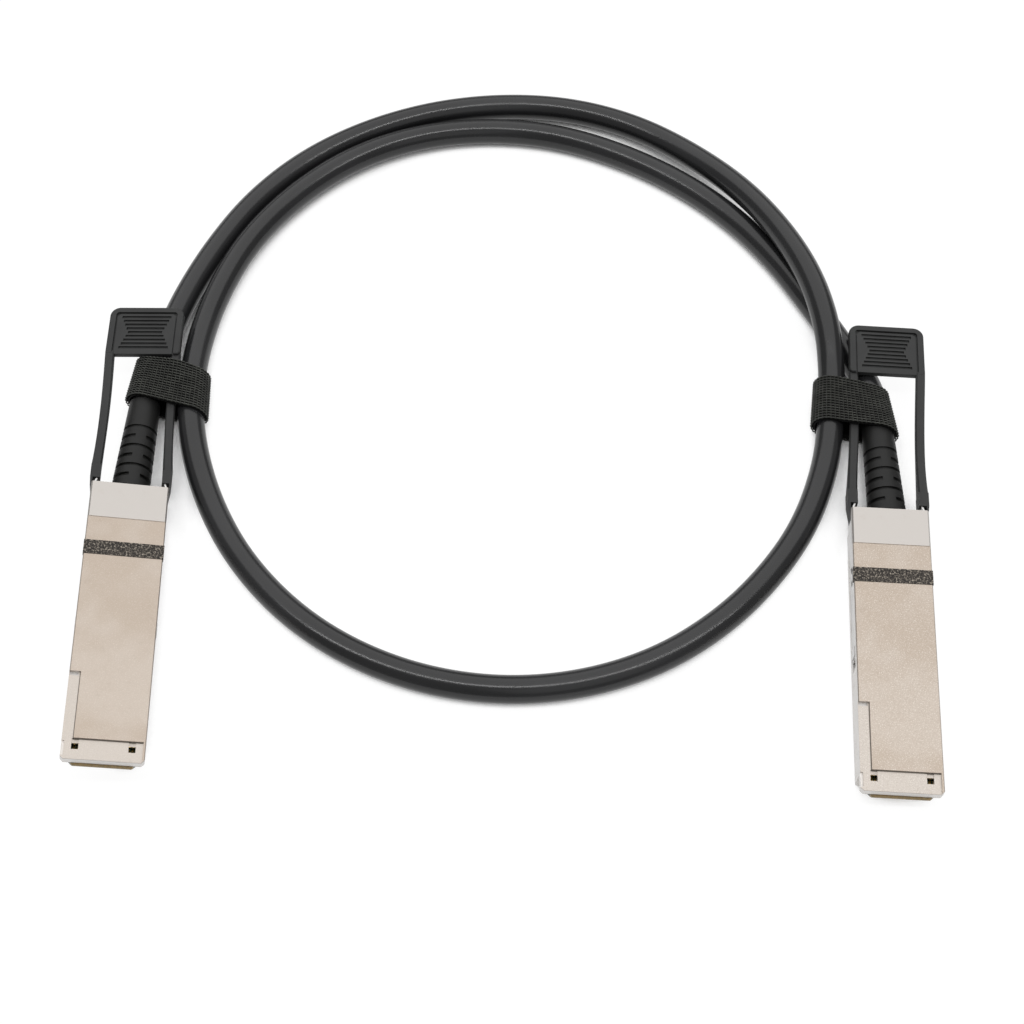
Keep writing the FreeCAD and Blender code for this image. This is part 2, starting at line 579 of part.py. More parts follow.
def boot_sleeve(shop, side):
    """The boot's outer form: lofted from an oval foot at the plug to a round mouth."""
    facing = Rotation(Vector(1, 0, 0), -90)
    foot = shop.doc.addObject("Part::Ellipse", side + "_boot_foot")
    shop.bind(foot, "MajorRadius", "boot_width / 2")
    shop.bind(foot, "MinorRadius", "boot_height / 2")
    foot.Placement = Placement(Vector(), facing)
    mouth = shop.doc.addObject("Part::Circle", side + "_boot_mouth")
    shop.bind(mouth, "Radius", "boot_mouth / 2")
    mouth.Placement = Placement(Vector(0, shop.size("boot_length"), 0), facing)
    loft = shop.doc.addObject("Part::Loft", side + "_sleeve")
    loft.Sections = [foot, mouth]
    loft.Solid = True
    loft.Ruled = True
    shop.doc.recompute()
    return loft


def slot_row(shop, side, body, name, first, width, start, sweep):
    """Equal grooves along the boot, each swept part of the way round from a start angle.

    Angles are in degrees from the top, towards starboard.
    """
    inner = "cable_diameter / 2 + bore_clear + slot_web"
    near, far = first + " - " + width + " / 2", first + " + " + width + " / 2"
    sketch = pinned_sketch(shop, body, side + name + "_outline", "XY_Plane", [
        (inner, near), ("boot_width", near), ("boot_width", far), (inner, far)])
    sketch.AttachmentOffset = Placement(Vector(), Rotation(Vector(0, 1, 0), start - 90))
    groove = body.newObject("PartDesign::Groove", side + name)
    groove.Profile = sketch
    groove.ReferenceAxis = (sketch, ["V_Axis"])
    shop.bind(groove, "Angle", sweep)
    shop.doc.recompute()
    row = body.newObject("PartDesign::LinearPattern", side + name + "_row")
    row.Originals = [groove]
    axis = next(f for f in body.Origin.OriginFeatures if f.Role == "Y_Axis")
    row.Direction = (axis, [""])
    shop.bind(row, "Length", "slot_pitch * ( slots_per_row - 1 )")
    row.Occurrences = int(shop.size("slots_per_row"))
    body.Tip = row
    shop.doc.recompute()


def strain_relief(shop, side):
    """The ribbed rubber boot: lofted sleeve, bore, ring grooves and part-way slots."""
    body = shop.doc.addObject("PartDesign::Body", side + "_boot_body")
    body.BaseFeature = boot_sleeve(shop, side)
    bore = "cable_diameter / 2 + bore_clear"
    sketch = pinned_sketch(shop, body, side + "_bore_outline", "XY_Plane", [
        ("0", "- 1"), (bore, "- 1"), (bore, "boot_length + 1"), ("0", "boot_length + 1")])
    groove = body.newObject("PartDesign::Groove", side + "_bore")
    groove.Profile = sketch
    groove.ReferenceAxis = (sketch, ["V_Axis"])
    groove.Angle = 360
    shop.doc.recompute()
    slot_row(shop, side, body, "_ring", "ring_first", "ring_width", 0.0, "360")
    for (hand, _), turn in zip(SIDES_OF_PLUG, (180.0, 0.0)):
        slot_row(shop, side, body, "_" + hand + "_slot", "slot_first", "slot_width",
                 shop.size("slot_start") + turn, "slot_sweep")
    shop.finish(body, side + "_strain_relief", boot_placement(shop, side))


def jacket_end(shop, side):
    """The length of cable jacket that is held inside the strain relief."""
    stub = shop.rod(side + "_jacket_stub", "cable_diameter / 2", "0",
                    ("ferrule_proud + bore_clear", "boot_length"), "0", "y")
    shop.finish(stub, side + "_jacket_end", boot_placement(shop, side))


def slider_tail(shop, sign, gap):
    """One tail of the slider, bent inward behind the plug, with a gap added all round."""
    size = shop.size
    outer = shop.value("plug_width / 2 - run_clear")
    inner = outer - size("sheet_thick")
    rear, end = size("plug_length"), shop.value("plug_length + slider_tail")
    bent = rear + size("tail_bend")
    inset = size("tail_inset")
    corners = [Vector(inner - gap, rear - 1), Vector(outer + gap, rear - 1),
               Vector(outer + gap, rear), Vector(outer - inset + gap, bent),
               Vector(outer - inset + gap, end + gap), Vector(inner - inset - gap, end + gap),
               Vector(inner - inset - gap, bent), Vector(inner - gap, rear)]
    outline = Part.makePolygon([Vector(sign * c.x, c.y, size("tail_low") - gap)
                                for c in corners + corners[:1]])
    return Part.Face(outline).extrude(Vector(0, 0, shop.value("tail_high - tail_low") + 2 * gap))


def latch_slider(shop, side, placement):
    """The stamped steel slider: a bridge under the plug and an arm in each cheek."""
    tag = side + "_slider_"
    outer = "plug_width / 2 - run_clear"
    inner = outer + " - sheet_thick"
    arm = ("channel_low + run_clear", "channel_high - run_clear")
    bridge = (BRIDGE, BRIDGE + " + bridge_width")
    bump = ("slider_start + bump_setback", "slider_start + bump_setback + bump_length")
    parts = [shop.box(tag + "bridge", mirrored_span(outer), bridge,
                      ("run_clear", "run_clear + sheet_thick"))]
    slots = []
    for hand, sign in SIDES_OF_PLUG:
        wall = mirrored(sign, inner, outer)
        parts.append(shop.box(tag + hand + "_web", wall, bridge, ("run_clear", arm[1])))
        parts.append(shop.box(tag + hand + "_arm", wall, ("slider_start", "plug_length"), arm))
        parts.append(shop.plain(tag + hand + "_tail", slider_tail(shop, sign, 0.0)))
        parts.append(shop.box(tag + hand + "_bump", mirrored(sign, inner, outer + " + latch_bump"),
                              bump, (arm[0] + " + bump_inset", arm[1] + " - bump_inset")))
        parts.append(shop.box(tag + hand + "_ear",
                              mirrored(sign, "pocket_inner + run_clear", outer + " - run_clear"),
                              (EAR, EAR + " + sheet_thick"),
                              ("pocket_low + run_clear", "pocket_high - run_clear")))
        places = (GASKET + " + arm_slot_first", GASKET + " + arm_slot_second")
        for number, place in enumerate(places, start=1):
            slots.append(shop.box("%s%s_slot_%d" % (tag, hand, number),
                                  mirrored(sign, inner + " - 1", outer + " + 1"),
                                  (place, place + " + arm_slot"),
                                  (arm[1] + " - arm_slot_drop", arm[1] + " - arm_slot_drop + arm_slot")))
    sheet = shop.fuse(tag + "sheet", parts)
    shop.finish(shop.cut(tag + "pierced", sheet, slots), side + "_latch_slider", placement)


def return_springs(shop, side, placement):
    """Two small coil springs, from the slider's ears to the rear of their pockets."""
    wire = shop.size("spring_wire")
    start = shop.value(EAR + " + sheet_thick + spring_clear") + wire
    length = shop.value(POCKET_END + " - spring_clear") - wire - start
    radius = shop.size("spring_radius")
    helix = Part.makeHelix(length / shop.size("spring_turns"), length, radius)
    section = Part.Wire(Part.makeCircle(wire, Vector(radius, 0, 0), Vector(0, 1, 0)))
    coil = Part.Wire(helix.Edges).makePipeShell([section], True, True)
    across = shop.value("( pocket_inner + plug_width / 2 - channel_depth ) / 2")
    height = shop.value("( pocket_low + pocket_high ) / 2")
    lie = Rotation(Vector(1, 0, 0), -90)
    coils = []
    for hand, sign in SIDES_OF_PLUG:
        one = coil.copy()
        one.Placement = Placement(Vector(sign * across, start, height), lie)
        coils.append(one)
    shop.finish(shop.plain(side + "_coils", Part.makeCompound(coils)), side + "_return_springs", placement)


def upright_section(middle, width, height, turn):
    """A rectangle with clipped corners that faces along Y, as a wire about its middle."""
    a, b, clip = width / 2, height / 2, min(width, height) / 6
    corners = [(-a + clip, -b), (a - clip, -b), (a, -b + clip), (a, b - clip),
               (a - clip, b), (-a + clip, b), (-a, b - clip), (-a, -b + clip)]
    points = [middle + turn.multVec(Vector(x, 0, z)) for x, z in corners]
    return Part.makePolygon(points + points[:1])


def rounded_plate(size):
    """The grip's outline: far corners well rounded, near ones a little, edges softened."""
    width, length, thick = size("tab_width"), size("grip_length"), size("grip_thick")
    plate = Part.makeBox(width, length, thick, Vector(-width / 2, -length / 2, -thick / 2))
    for sign, radius in ((1, size("grip_corner")), (-1, size("grip_corner") / 3)):
        posts = [e for e in plate.Edges if e.BoundBox.ZLength > thick / 2
                 and abs(e.BoundBox.YMin - sign * length / 2) < 1e-6 and e.BoundBox.YLength < 1e-6]
        plate = plate.makeFillet(radius, posts)
    rims = [e for e in plate.Edges if e.BoundBox.ZLength < 1e-6]
    return plate.makeFillet(thick / 4, rims)


def grip_plate(shop):
    """The grip about its own middle: rounded plate, sunk fields, rims and rib grooves.

    Each field runs out at the near edge, and a narrow moat follows its other three sides.
    """
    size = shop.size
    width, length, thick = size("tab_width"), size("grip_length"), size("grip_thick")
    border, sink, moat = size("rim_border"), size("grip_sink"), size("moat_width")
    plate = rounded_plate(size)

    def field(inset, low, deep):
        """A slab over the field, smaller all round by an inset, open at the near edge."""
        across, far = width - 2 * (border + inset), length / 2 - border - inset
        slab = Part.makeBox(across, far + length, deep, Vector(-across / 2, -length, low))
        posts = [e for e in slab.Edges if e.BoundBox.ZLength > deep / 2 and e.BoundBox.YMin > 0]
        return slab.makeFillet(border / 2 + inset, posts)

    deeper = sink + size("moat_depth")
    for face, level in ((1, thick / 2), (-1, -thick / 2)):
        low = level - sink if face > 0 else level
        plate = plate.cut(field(0.0, low, sink))
        low = level - deeper if face > 0 else level
        plate = plate.cut(field(0.0, low, deeper).cut(field(moat, low - 1, deeper + 2)))
    count = int(size("rib_count"))
    far_out = (count - 1) / 2
    depth = size("rib_depth")
    for i in range(count):
        place = i - far_out
        across = size("rib_short") + (size("rib_long") - size("rib_short")) * abs(place) / far_out
        near = place * size("rib_pitch") - size("rib_shift") - size("rib_groove") / 2
        for z in (thick / 2 - sink - depth, -thick / 2 + sink):
            plate = plate.cut(Part.makeBox(across, size("rib_groove"), depth, Vector(-across / 2, near, z)))
    return plate


def tab_foot(shop, hand):
    """One foot of the tab, moulded over a slider's tail, with a wedge beside the plug."""
    size, value = shop.size, shop.value
    gap = size("mould_gap")
    rear = value("plug_length + tab_gap")
    length = value("slider_tail - tab_gap + foot_cover")
    low = value("( tail_low + tail_high ) / 2 - foot_height / 2")
    outside = value("plug_width / 2 + foot_reach")
    beside = value("plug_width / 2 - run_clear") + gap
    root = rear + size("wedge_root")
    foot = Part.makeBox(size("foot_width"), length, size("foot_height"),
                        Vector(outside - size("foot_width"), rear, low))
    corners = [Vector(beside, size("plug_length") - size("wedge_length"), low),
               Vector(outside, rear, low), Vector(outside, root, low), Vector(beside, root, low)]
    wedge = Part.Face(Part.makePolygon(corners + corners[:1])).extrude(Vector(0, 0, size("foot_height")))
    solid = foot.fuse(wedge)
    if hand < 0:
        solid = solid.mirror(Vector(), Vector(1, 0, 0))
    return solid.cut(slider_tail(shop, hand, gap))


def tab_arm(shop, hand, grip, drop):
    """One arm, a loft that eases from the plug's rolled frame to the level grip.

    The arm meets the grip at a drop below the grip's middle.
    """
    size, value = shop.size, shop.value
    start = Vector(hand * value("plug_width / 2 + foot_reach - foot_width / 2"),
                   value("plug_length + slider_tail + foot_cover - arm_root"),
                   value("( tail_low + tail_high ) / 2"))
    end = grip.multVec(Vector(hand * value("tab_width - arm_width") / 2,
                              value("arm_lap - grip_length / 2"), -drop))
    stations = []
    for i in range(LOFT_STEPS + 1):
        along = i / LOFT_STEPS
        ease = along * along * (3 - 2 * along)
        settle = max(0.0, 1 - along / size("arm_ease")) ** 2
        place = start + (end - start) * along
        place.x -= hand * size("arm_waist") * math.sin(math.pi * along)
        place.z = start.z + (end.z - start.z) * ease
        width = size("arm_width") + (size("foot_width") - size("arm_width")) * settle
        height = size("arm_thick") + (size("foot_height") - size("arm_thick")) * settle
        stations.append(upright_section(place, width, height, Rotation().slerp(grip.Rotation, ease)))
    return Part.makeLoft(stations, True, True)


def pull_tab(shop, side, placement):
    """The rubber pull tab: feet on the slider's tails, two arms and the grip.

    The feet follow the plug's roll while the grip lies level. The arm on the loop's side
    runs through the tie, so it meets the grip lower than the other.
    """
    size = shop.size
    level = Placement(Vector(size(side + "_grip_x"), size(side + "_grip_y"),
                             shop.value(side + "_grip_top - grip_thick / 2")),
                      Rotation(Vector(0, 0, 1), -size(side + "_grip_heading")))
    grip = placement.inverse().multiply(level)
    plate = grip_plate(shop)
    plate.Placement = grip
    drops = {INNER_HAND[side]: size("arm_drop"), -INNER_HAND[side]: 0.0}
    limbs = [limb for hand in (-1, 1)
             for limb in (tab_arm(shop, hand, grip, drops[hand]), tab_foot(shop, hand))]
    shop.finish(shop.plain(side + "_tab_shape", plate.fuse(limbs)), side + "_pull_tab", placement)


def woven_tie(shop, side):
    """A tie round the strands: a flat stadium ring whose two cut edges are slanted."""
    tag = side + "_tie_"
    span, width = side + "_tie_span", "tie_width"
    inner = "boot_mouth / 2 + tie_clear"
    outer = inner + " + tie_thick"
    reach = mirrored_span(width)

    def stadium(name, radius):
        flat = shop.box(tag + name + "_flat", mirrored_span(span + " / 2"), reach,
                        mirrored_span(radius))
        ends = [shop.rod(tag + name + "_" + hand, radius, sign + span + " / 2", reach, "0", "y")
                for hand, sign in (("port", "- "), ("starboard", ""))]
        return shop.fuse(tag + name, [flat] + ends)

    ring = shop.cut(tag + "ring", stadium("outer", outer), [stadium("inner", inner)])
    flat = shop.box(tag + "slab", mirrored_span("2 * " + width), mirrored_span(width + " / 2"),
                    mirrored_span(width))
    slab = shop.group(tag + "slanted", [flat])
    slab.Placement = Placement(Vector(), Rotation(Vector(0, 0, 1), shop.size(side + "_tie_slant")))
    band = shop.doc.addObject("Part::Common", tag + "band")
    band.Base, band.Tool = ring, slab
    place = Vector(*(shop.size(side + "_tie_" + axis) for axis in "xyz"))
    heading = Rotation(Vector(0, 0, 1), -shop.size(side + "_tie_heading"))
    tilt = Rotation(Vector(0, 1, 0), shop.size(side + "_tie_tilt"))
    shop.finish(band, side + "_tie", Placement(place, heading.multiply(tilt)))


def free_cable(shop):
    """The round cable from one strain relief's mouth to the other's."""
    mouths = []
    for side in ("left", "right"):
        frame = boot_placement(shop, side)
        mouth = frame.multVec(Vector(0, shop.size("boot_length"), 0))
        exit_point = frame.multVec(Vector(0, shop.size("boot_length") + EXIT_LENGTH, 0))
        mouths.append((mouth, exit_point))
    route = [Vector(*point) for point in ROUTE]
    points = [mouths[0][0], mouths[0][1]] + route + [mouths[1][1], mouths[1][0]]
    path, radii = rounded_path(points)
    radius = shop.size("cable_diameter") / 2
    tube = round_bar(path, points[0], points[1], radius)
    ideal = math.pi * radius ** 2 * path.Length
    print("cable length %.1f mm, volume ratio %.5f" % (path.Length, tube.Volume / ideal))
    print("bend radii mm:", ", ".join("%.0f" % r for r in radii), "least %.1f" % min(radii))
    runs = [(b - a).Length for a, b in zip(points, points[1:])]
    print("runs mm:", ", ".join("%.0f" % r for r in runs))
    print("ends", [tuple(round(c, 1) for c in p) for p in (points[0], points[1], points[-2], points[-1])])
    shop.finish(shop.plain("cable_tube", tube), "cable", Placement())


def build_plug(shop, side):
    """Every piece of one plug, set down where that plug lies."""
    placement = plug_placement(shop, side)
    for make in (upper_shell, lower_shell, shell_screws, gaskets, card_body, contact_pads,
                 memory_chip, wire_pairs, wire_comb, crimp_ferrule, latch_slider, return_springs,
                 pull_tab):
        make(shop, side, placement)
    strain_relief(shop, side)
    jacket_end(shop, side)


def check_and_export(shop):
    """Stop on any failed object, then write each piece to its own file."""
    for obj in shop.doc.Objects:
        if "Invalid" in obj.State or "Error" in obj.State:
            raise RuntimeError("%s failed: %s" % (obj.Name, obj.State))
    os.makedirs("parts", exist_ok=True)
    for piece in shop.pieces:
        shape = piece.Shape
        if shape.isNull() or not shape.isValid() or not shape.Solids:
            raise RuntimeError("%s has no valid solid" % piece.Label)
        shape.exportStep(os.path.join("parts", piece.Label + ".step"))
    print(len(shop.pieces), "pieces written")


def main():
    doc = FreeCAD.newDocument("CopperCable")
    shop = Shop(doc, new_sheet(doc))
    for side in ("left", "right"):
        build_plug(shop, side)
        woven_tie(shop, side)
    free_cable(shop)
    doc.recompute()
    check_and_export(shop)


main()
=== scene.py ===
"""Visual model of a direct attach copper cable: two metal plugs with pull tabs and boots,
one round jacketed cable wound one and a half turns, and two woven hook-and-loop ties."""

import logging
import math
from dataclasses import dataclass
from enum import Enum
from typing import Sequence

import bmesh
import bpy
from mathutils import Euler, Matrix, Vector


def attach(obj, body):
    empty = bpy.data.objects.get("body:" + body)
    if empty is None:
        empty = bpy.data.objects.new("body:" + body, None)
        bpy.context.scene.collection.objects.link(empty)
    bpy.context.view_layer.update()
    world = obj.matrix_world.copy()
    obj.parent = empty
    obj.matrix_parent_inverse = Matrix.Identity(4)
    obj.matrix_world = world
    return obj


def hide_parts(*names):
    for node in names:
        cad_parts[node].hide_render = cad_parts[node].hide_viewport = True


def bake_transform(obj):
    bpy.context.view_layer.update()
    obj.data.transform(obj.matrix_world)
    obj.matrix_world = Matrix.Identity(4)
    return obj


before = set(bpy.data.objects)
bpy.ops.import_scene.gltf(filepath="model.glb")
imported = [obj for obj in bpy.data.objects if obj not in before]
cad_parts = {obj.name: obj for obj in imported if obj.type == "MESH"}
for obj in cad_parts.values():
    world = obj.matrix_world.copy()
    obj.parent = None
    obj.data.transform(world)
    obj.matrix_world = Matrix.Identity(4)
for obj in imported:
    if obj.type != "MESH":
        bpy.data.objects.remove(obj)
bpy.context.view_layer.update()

log = logging.getLogger("copper_cable")

Colour = tuple[float, float, float]
Point = tuple[float, float, float]
Span = tuple[float, float]
MM = 0.001
TINY = 1e-9
ROOT = "cable_assembly"


class Side(Enum):
    """The two plugs, as their nodes are named."""

    LEFT = "left"
    RIGHT = "right"


# ---------------------------------------------------------------- shader building


class Wire:
    """One output socket of a node, with the operators that add Math nodes."""

    def __init__(self, tree: "Tree", socket: bpy.types.NodeSocket | None) -> None:
        """Keep the socket and the tree that it belongs to."""
        self.tree = tree
        self.socket = socket

    def _math(self, operation: str, *others: "Wire | float") -> "Wire":
        """Add a Math node.

        Args:
            operation: the Math node's operation.
            others: its further inputs, as links or numbers.

        Returns:
            The node's value.
        """
        values = {i: v for i, v in enumerate((self, *others))}
        return self.tree.node("ShaderNodeMath", {"operation": operation}, values)

    def __add__(self, other: "Wire | float") -> "Wire":
        """Sum."""
        return self._math("ADD", other)

    __radd__ = __add__

    def __mul__(self, other: "Wire | float") -> "Wire":
        """Product."""
        return self._math("MULTIPLY", other)

    __rmul__ = __mul__

    def __sub__(self, other: "Wire | float") -> "Wire":
        """Difference."""
        return self._math("SUBTRACT", other)

    def __rsub__(self, other: float) -> "Wire":
        """Number minus value."""
        return self._math("MULTIPLY", -1.0)._math("ADD", other)

    def rise(self, low: float, high: float) -> "Wire":
        """A smooth step.

        Args:
            low: the value at which the result leaves 0.
            high: the value at which it reaches 1.

        Returns:
            The step, from 0 to 1.
        """
        return self.tree.node("ShaderNodeMapRange", {"interpolation_type": "SMOOTHSTEP"},
                              {"Value": self, "From Min": low, "From Max": high})

    def band(self, low: float, high: float, soft: float) -> "Wire":
        """1 between two values and 0 outside them, with soft edges."""
        return self.rise(low - soft, low + soft) * (1 - self.rise(high - soft, high + soft))


class Tree:
    """Fills one node tree, node by node."""

    def __init__(self, tree: bpy.types.NodeTree) -> None:
        """Start with the tree empty."""
        self.tree = tree
        tree.nodes.clear()

    def node(self, kind: str, settings: dict | None = None, sockets: dict | None = None,
             out: int | str = 0) -> Wire:
        """Add any node.

        Args:
            kind: the node's type.
            settings: its properties, set first; "stops" holds a ramp's stops.
            sockets: values or links of its inputs, by name or number.
            out: which output to return.

        Returns:
            The chosen output, which is empty for a tree's own output node.
        """
        made = self.tree.nodes.new(kind)
        for key, value in (settings or {}).items():
            if key == "stops":
                ramp = made.color_ramp.elements
                while len(ramp) < len(value):
                    ramp.new(0.5)
                for stop, (place, colour) in zip(ramp, value):
                    stop.position, stop.color = place, (*colour, 1.0)
            else:
                setattr(made, key, value)
        for key, value in (sockets or {}).items():
            if isinstance(value, Wire):
                self.tree.links.new(value.socket, made.inputs[key])
            else:
                made.inputs[key].default_value = value
        return Wire(self, made.outputs[out] if made.outputs else None)


class Bench(Tree):
    """Builds one material, node by node."""

    def __init__(self, name: str) -> None:
        """Start an empty material."""
        self.material = bpy.data.materials.new(name)
        self.material.use_nodes = True
        super().__init__(self.material.node_tree)

    def object_mm(self, placement: Matrix | None = None) -> Wire:
        """The surface's place in millimetres.

        Args:
            placement: a piece's own frame, or None for the model's.

        Returns:
            The place as a vector.
        """
        base = placement or Matrix()
        return self.node("ShaderNodeMapping", {"vector_type": "TEXTURE"}, {
            "Vector": self.node("ShaderNodeTexCoord", out="Object"),
            "Location": base.to_translation(), "Rotation": base.to_euler(),
            "Scale": (MM, MM, MM)})

    def noise(self, place: Wire, scale: float, detail: float = 2.0,
              roughness: float = 0.5) -> Wire:
        """Noise of that many grains a millimetre, about 0.5."""
        return self.node("ShaderNodeTexNoise", {}, {
            "Vector": place, "Scale": scale, "Detail": detail, "Roughness": roughness})

    def cells(self, place: Wire, scale: float) -> Wire:
        """Distance to the nearest of many scattered points."""
        return self.node("ShaderNodeTexVoronoi", {}, {"Vector": place, "Scale": scale})

    def stretched(self, place: Wire, scale: Point) -> Wire:
        """The place with each of its axes scaled."""
        return self.node("ShaderNodeVectorMath", {"operation": "MULTIPLY"},
                         {0: place, 1: scale})

    def axis(self, place: Wire, which: str) -> Wire:
        """One coordinate of a place."""
        return self.node("ShaderNodeSeparateXYZ", {}, {0: place}, which)

    def mix(self, share: Wire | float, low: Wire | Colour, high: Wire | Colour) -> Wire:
        """Two colours mixed.

        Args:
            share: how much of the second.
            low: the first colour.
            high: the second colour.

        Returns:
            The mixed colour.
        """
        pair = [c if isinstance(c, Wire) else (*c, 1.0) for c in (low, high)]
        return self.node("ShaderNodeMix", {"data_type": "RGBA"},
                         {0: share, 6: pair[0], 7: pair[1]}, 2)

    def bump(self, height: Wire, depth: float, strength: float = 1.0) -> Wire:
        """A bumped normal.

        Args:
            height: from 0 to 1.
            depth: the bump's height in millimetres.
            strength: how much of it shows.

        Returns:
            The normal.
        """
        return self.node("ShaderNodeBump", {}, {
            "Height": height, "Distance": depth * MM, "Strength": strength})

    def finish(self, **sockets: "Wire | float | Colour") -> bpy.types.Material:
        """Close the material with one Principled shader.

        Args:
            sockets: its inputs, with spaces written as underscores.

        Returns:
            The material.
        """
        named = {}
        for key, value in sockets.items():
            colour = isinstance(value, tuple) and len(value) == 3
            named[key.replace("_", " ")] = (*value, 1.0) if colour else value
        shader = self.node("ShaderNodeBsdfPrincipled", {}, named)
        self.node("ShaderNodeOutputMaterial", {}, {0: shader})
        return self.material


# ---------------------------------------------------------------- finishes


@dataclass(frozen=True)
class DieCastPlate:
    """Satin nickel plate on a die casting: grained front, smooth rear, pale nose ledge; painted
    light on the lower walls, painted shade in the nose opening and painted shadow lines at the
    steps.
    """

    field_colour: Colour = (0.467, 0.393, 0.327)
    cloud_colour: Colour = (0.514, 0.447, 0.386)
    rear_colour: Colour = (0.520, 0.490, 0.461)
    ledge_colour: Colour = (0.545, 0.495, 0.447)
    # Painted light: faces below the top get a paler colour than the plating, standing in for light
    # the side walls don't get from the surround.
    wall_painted_light: Colour = (0.750, 0.732, 0.715)
    # Painted shade: a dark warm tint for the inside of the nose opening, standing in for shade
    # with a warm painted reflection.
    nose_shade_colour: Colour = (0.30, 0.235, 0.165)
    speck_colour: Colour = (0.80, 0.76, 0.70)
    pit_colour: Colour = (0.30, 0.25, 0.20)
    mark_colour: Colour = (0.38, 0.31, 0.25)
    # Painted shadow: dark lines at the foot of the steps beside the strip and before the ledge.
    step_shadow_colour: Colour = (0.10, 0.085, 0.07)
    plug_length: float = 72.4
    plug_height: float = 8.5
    zone_length: float = 9.8
    strip_length: float = 21.3
    strip_edge: float = -6.62
    ledge_length: float = 4.9
    step_shadow_width: float = 0.2
    step_shadow_soft: float = 0.04
    bay_height: Span = (3.0, 6.0)
    bay_length: Span = (3.9, 4.5)
    rear_soft: float = 0.05
    nose_soft: float = 0.2
    face_drop: Span = (0.5, 0.4)
    ledge_drop: Span = (0.95, 0.85)
    wall_drop: Span = (0.45, 0.2)
    cloud_scale: float = 0.055
    cloud_span: Span = (0.38, 0.66)
    speck_scale: float = 4.2
    speck_span: Span = (0.56, 0.70)
    speck_share: float = 0.55
    pit_span: Span = (0.30, 0.42)
    pit_share: float = 0.35
    mark_scale: float = 0.35
    mark_span: Span = (0.60, 0.74)
    mark_share: float = 0.22
    fine_scale: float = 9.0
    step_shadow_share: float = 0.8
    nose_shade_share: float = 0.9
    metallic: float = 0.85
    roughness: float = 0.40
    relief_depth: float = 0.02
    grain: float = 0.5

    def above(self, up: Wire, drop: Span) -> Wire:
        """0 below a depth under the top face, and 1 above a lesser one."""
        return up.rise(self.plug_height - drop[0], self.plug_height - drop[1])

    def make(self, name: str, placement: Matrix) -> bpy.types.Material:
        """Build the plate's material in its plug's own frame.

        Args:
            name: the material's name.
            placement: the plug's frame.

        Returns:
            The material.
        """
        bench = Bench(name)
        place = bench.object_mm(placement)
        across, along, up = (bench.axis(place, which) for which in "XYZ")
        zone = self.plug_length - self.zone_length
        rear = along.rise(zone - self.rear_soft, zone + self.rear_soft)
        below_face = 1 - self.above(up, self.face_drop)
        nose = 1 - along.rise(self.strip_length, self.strip_length + self.nose_soft)
        ledge = below_face * nose * self.above(up, self.ledge_drop)
        # Painted light: faces well below the top are painted paler than the plating.
        lit_walls = 1 - self.above(up, self.wall_drop)
        clouds = bench.noise(place, self.cloud_scale, 3.0, 0.6)
        patches = bench.noise(place, self.mark_scale, 4.0, 0.6)
        speck = bench.noise(place, self.speck_scale, 1.0)
        fine = bench.noise(place, self.fine_scale, 2.0)
        colour = bench.mix(clouds.rise(*self.cloud_span), self.field_colour, self.cloud_colour)
        colour = bench.mix(lit_walls, colour, self.wall_painted_light)
        colour = bench.mix(ledge, colour, self.ledge_colour)
        colour = bench.mix(rear, colour, self.rear_colour)
        bright = speck.rise(*self.speck_span) * self.grain * (1 - rear)
        colour = bench.mix(bright * self.speck_share, colour, self.speck_colour)
        dull = (1 - speck.rise(*self.pit_span)) * self.grain * (1 - rear)
        colour = bench.mix(dull * self.pit_share, colour, self.pit_colour)
        marks = patches.rise(*self.mark_span) * (1 - rear * 0.6)
        colour = bench.mix(marks * self.mark_share, colour, self.mark_colour)
        # Painted shadow: thin dark lines where the strip and the ledge meet the step up to the top
        # face, standing in for the shade at the foot of each step.
        edge, end, shade_width, soft = self.strip_edge, self.ledge_length, self.step_shadow_width, self.step_shadow_soft
        shadow_beside_strip = across.band(edge - shade_width - 0.02, edge + 0.02, soft)
        shadow_beside_strip = shadow_beside_strip * along.rise(end - shade_width, end)
        shadow_before_field = along.band(end - shade_width - 0.04, end + 0.02, soft)
        shadow_before_field = shadow_before_field * across.rise(edge - shade_width, edge)
        step_shadows = (shadow_beside_strip + shadow_before_field) * below_face * nose
        colour = bench.mix(step_shadows * self.step_shadow_share, colour, self.step_shadow_colour)
        # Painted shade: the inside of the nose opening is darkened, with a warm tint as a painted
        # reflection.
        nose_shade = up.band(*self.bay_height, 0.1) * (1 - along.rise(*self.bay_length))
        colour = bench.mix(nose_shade * self.nose_shade_share, colour, self.nose_shade_colour)
        rough = self.roughness + patches * 0.10 - rear * 0.08 + bright * 0.10
        relief = (fine * 0.6 + speck * 0.8) * (1 - rear * 0.85)
        shown = 0.5 * self.grain + 0.15
        return bench.finish(Base_Color=colour, Metallic=self.metallic, Roughness=rough,
                            Normal=bench.bump(relief, self.relief_depth, shown))


@dataclass(frozen=True)
class Metal:
    """A plain metal with brushing along one way and small stains."""

    colour: Colour
    roughness: float = 0.35
    brush: Point = (6.0, 0.25, 6.0)
    depth: float = 0.01
    metallic: float = 1.0
    tarnish: float = 0.72
    stain_scale: float = 0.3
    stain_span: Span = (0.45, 0.75)
    stain_share: float = 0.5
    line_span: Span = (0.5, 0.8)
    line_share: float = 0.3

    def make(self, name: str, placement: Matrix) -> bpy.types.Material:
        """Build the metal in its plug's own frame."""
        bench = Bench(name)
        place = bench.object_mm(placement)
        lines = bench.noise(bench.stretched(place, self.brush), 1.0, 3.0)
        stains = bench.noise(place, self.stain_scale, 3.0)
        dark = tuple(c * self.tarnish for c in self.colour)
        colour = bench.mix(stains.rise(*self.stain_span) * self.stain_share, self.colour, dark)
        colour = bench.mix(lines.rise(*self.line_span) * self.line_share, colour, dark)
        return bench.finish(Base_Color=colour, Metallic=self.metallic,
                            Roughness=lines * 0.2 + (self.roughness - 0.1),
                            Normal=bench.bump(lines, self.depth, 0.5))


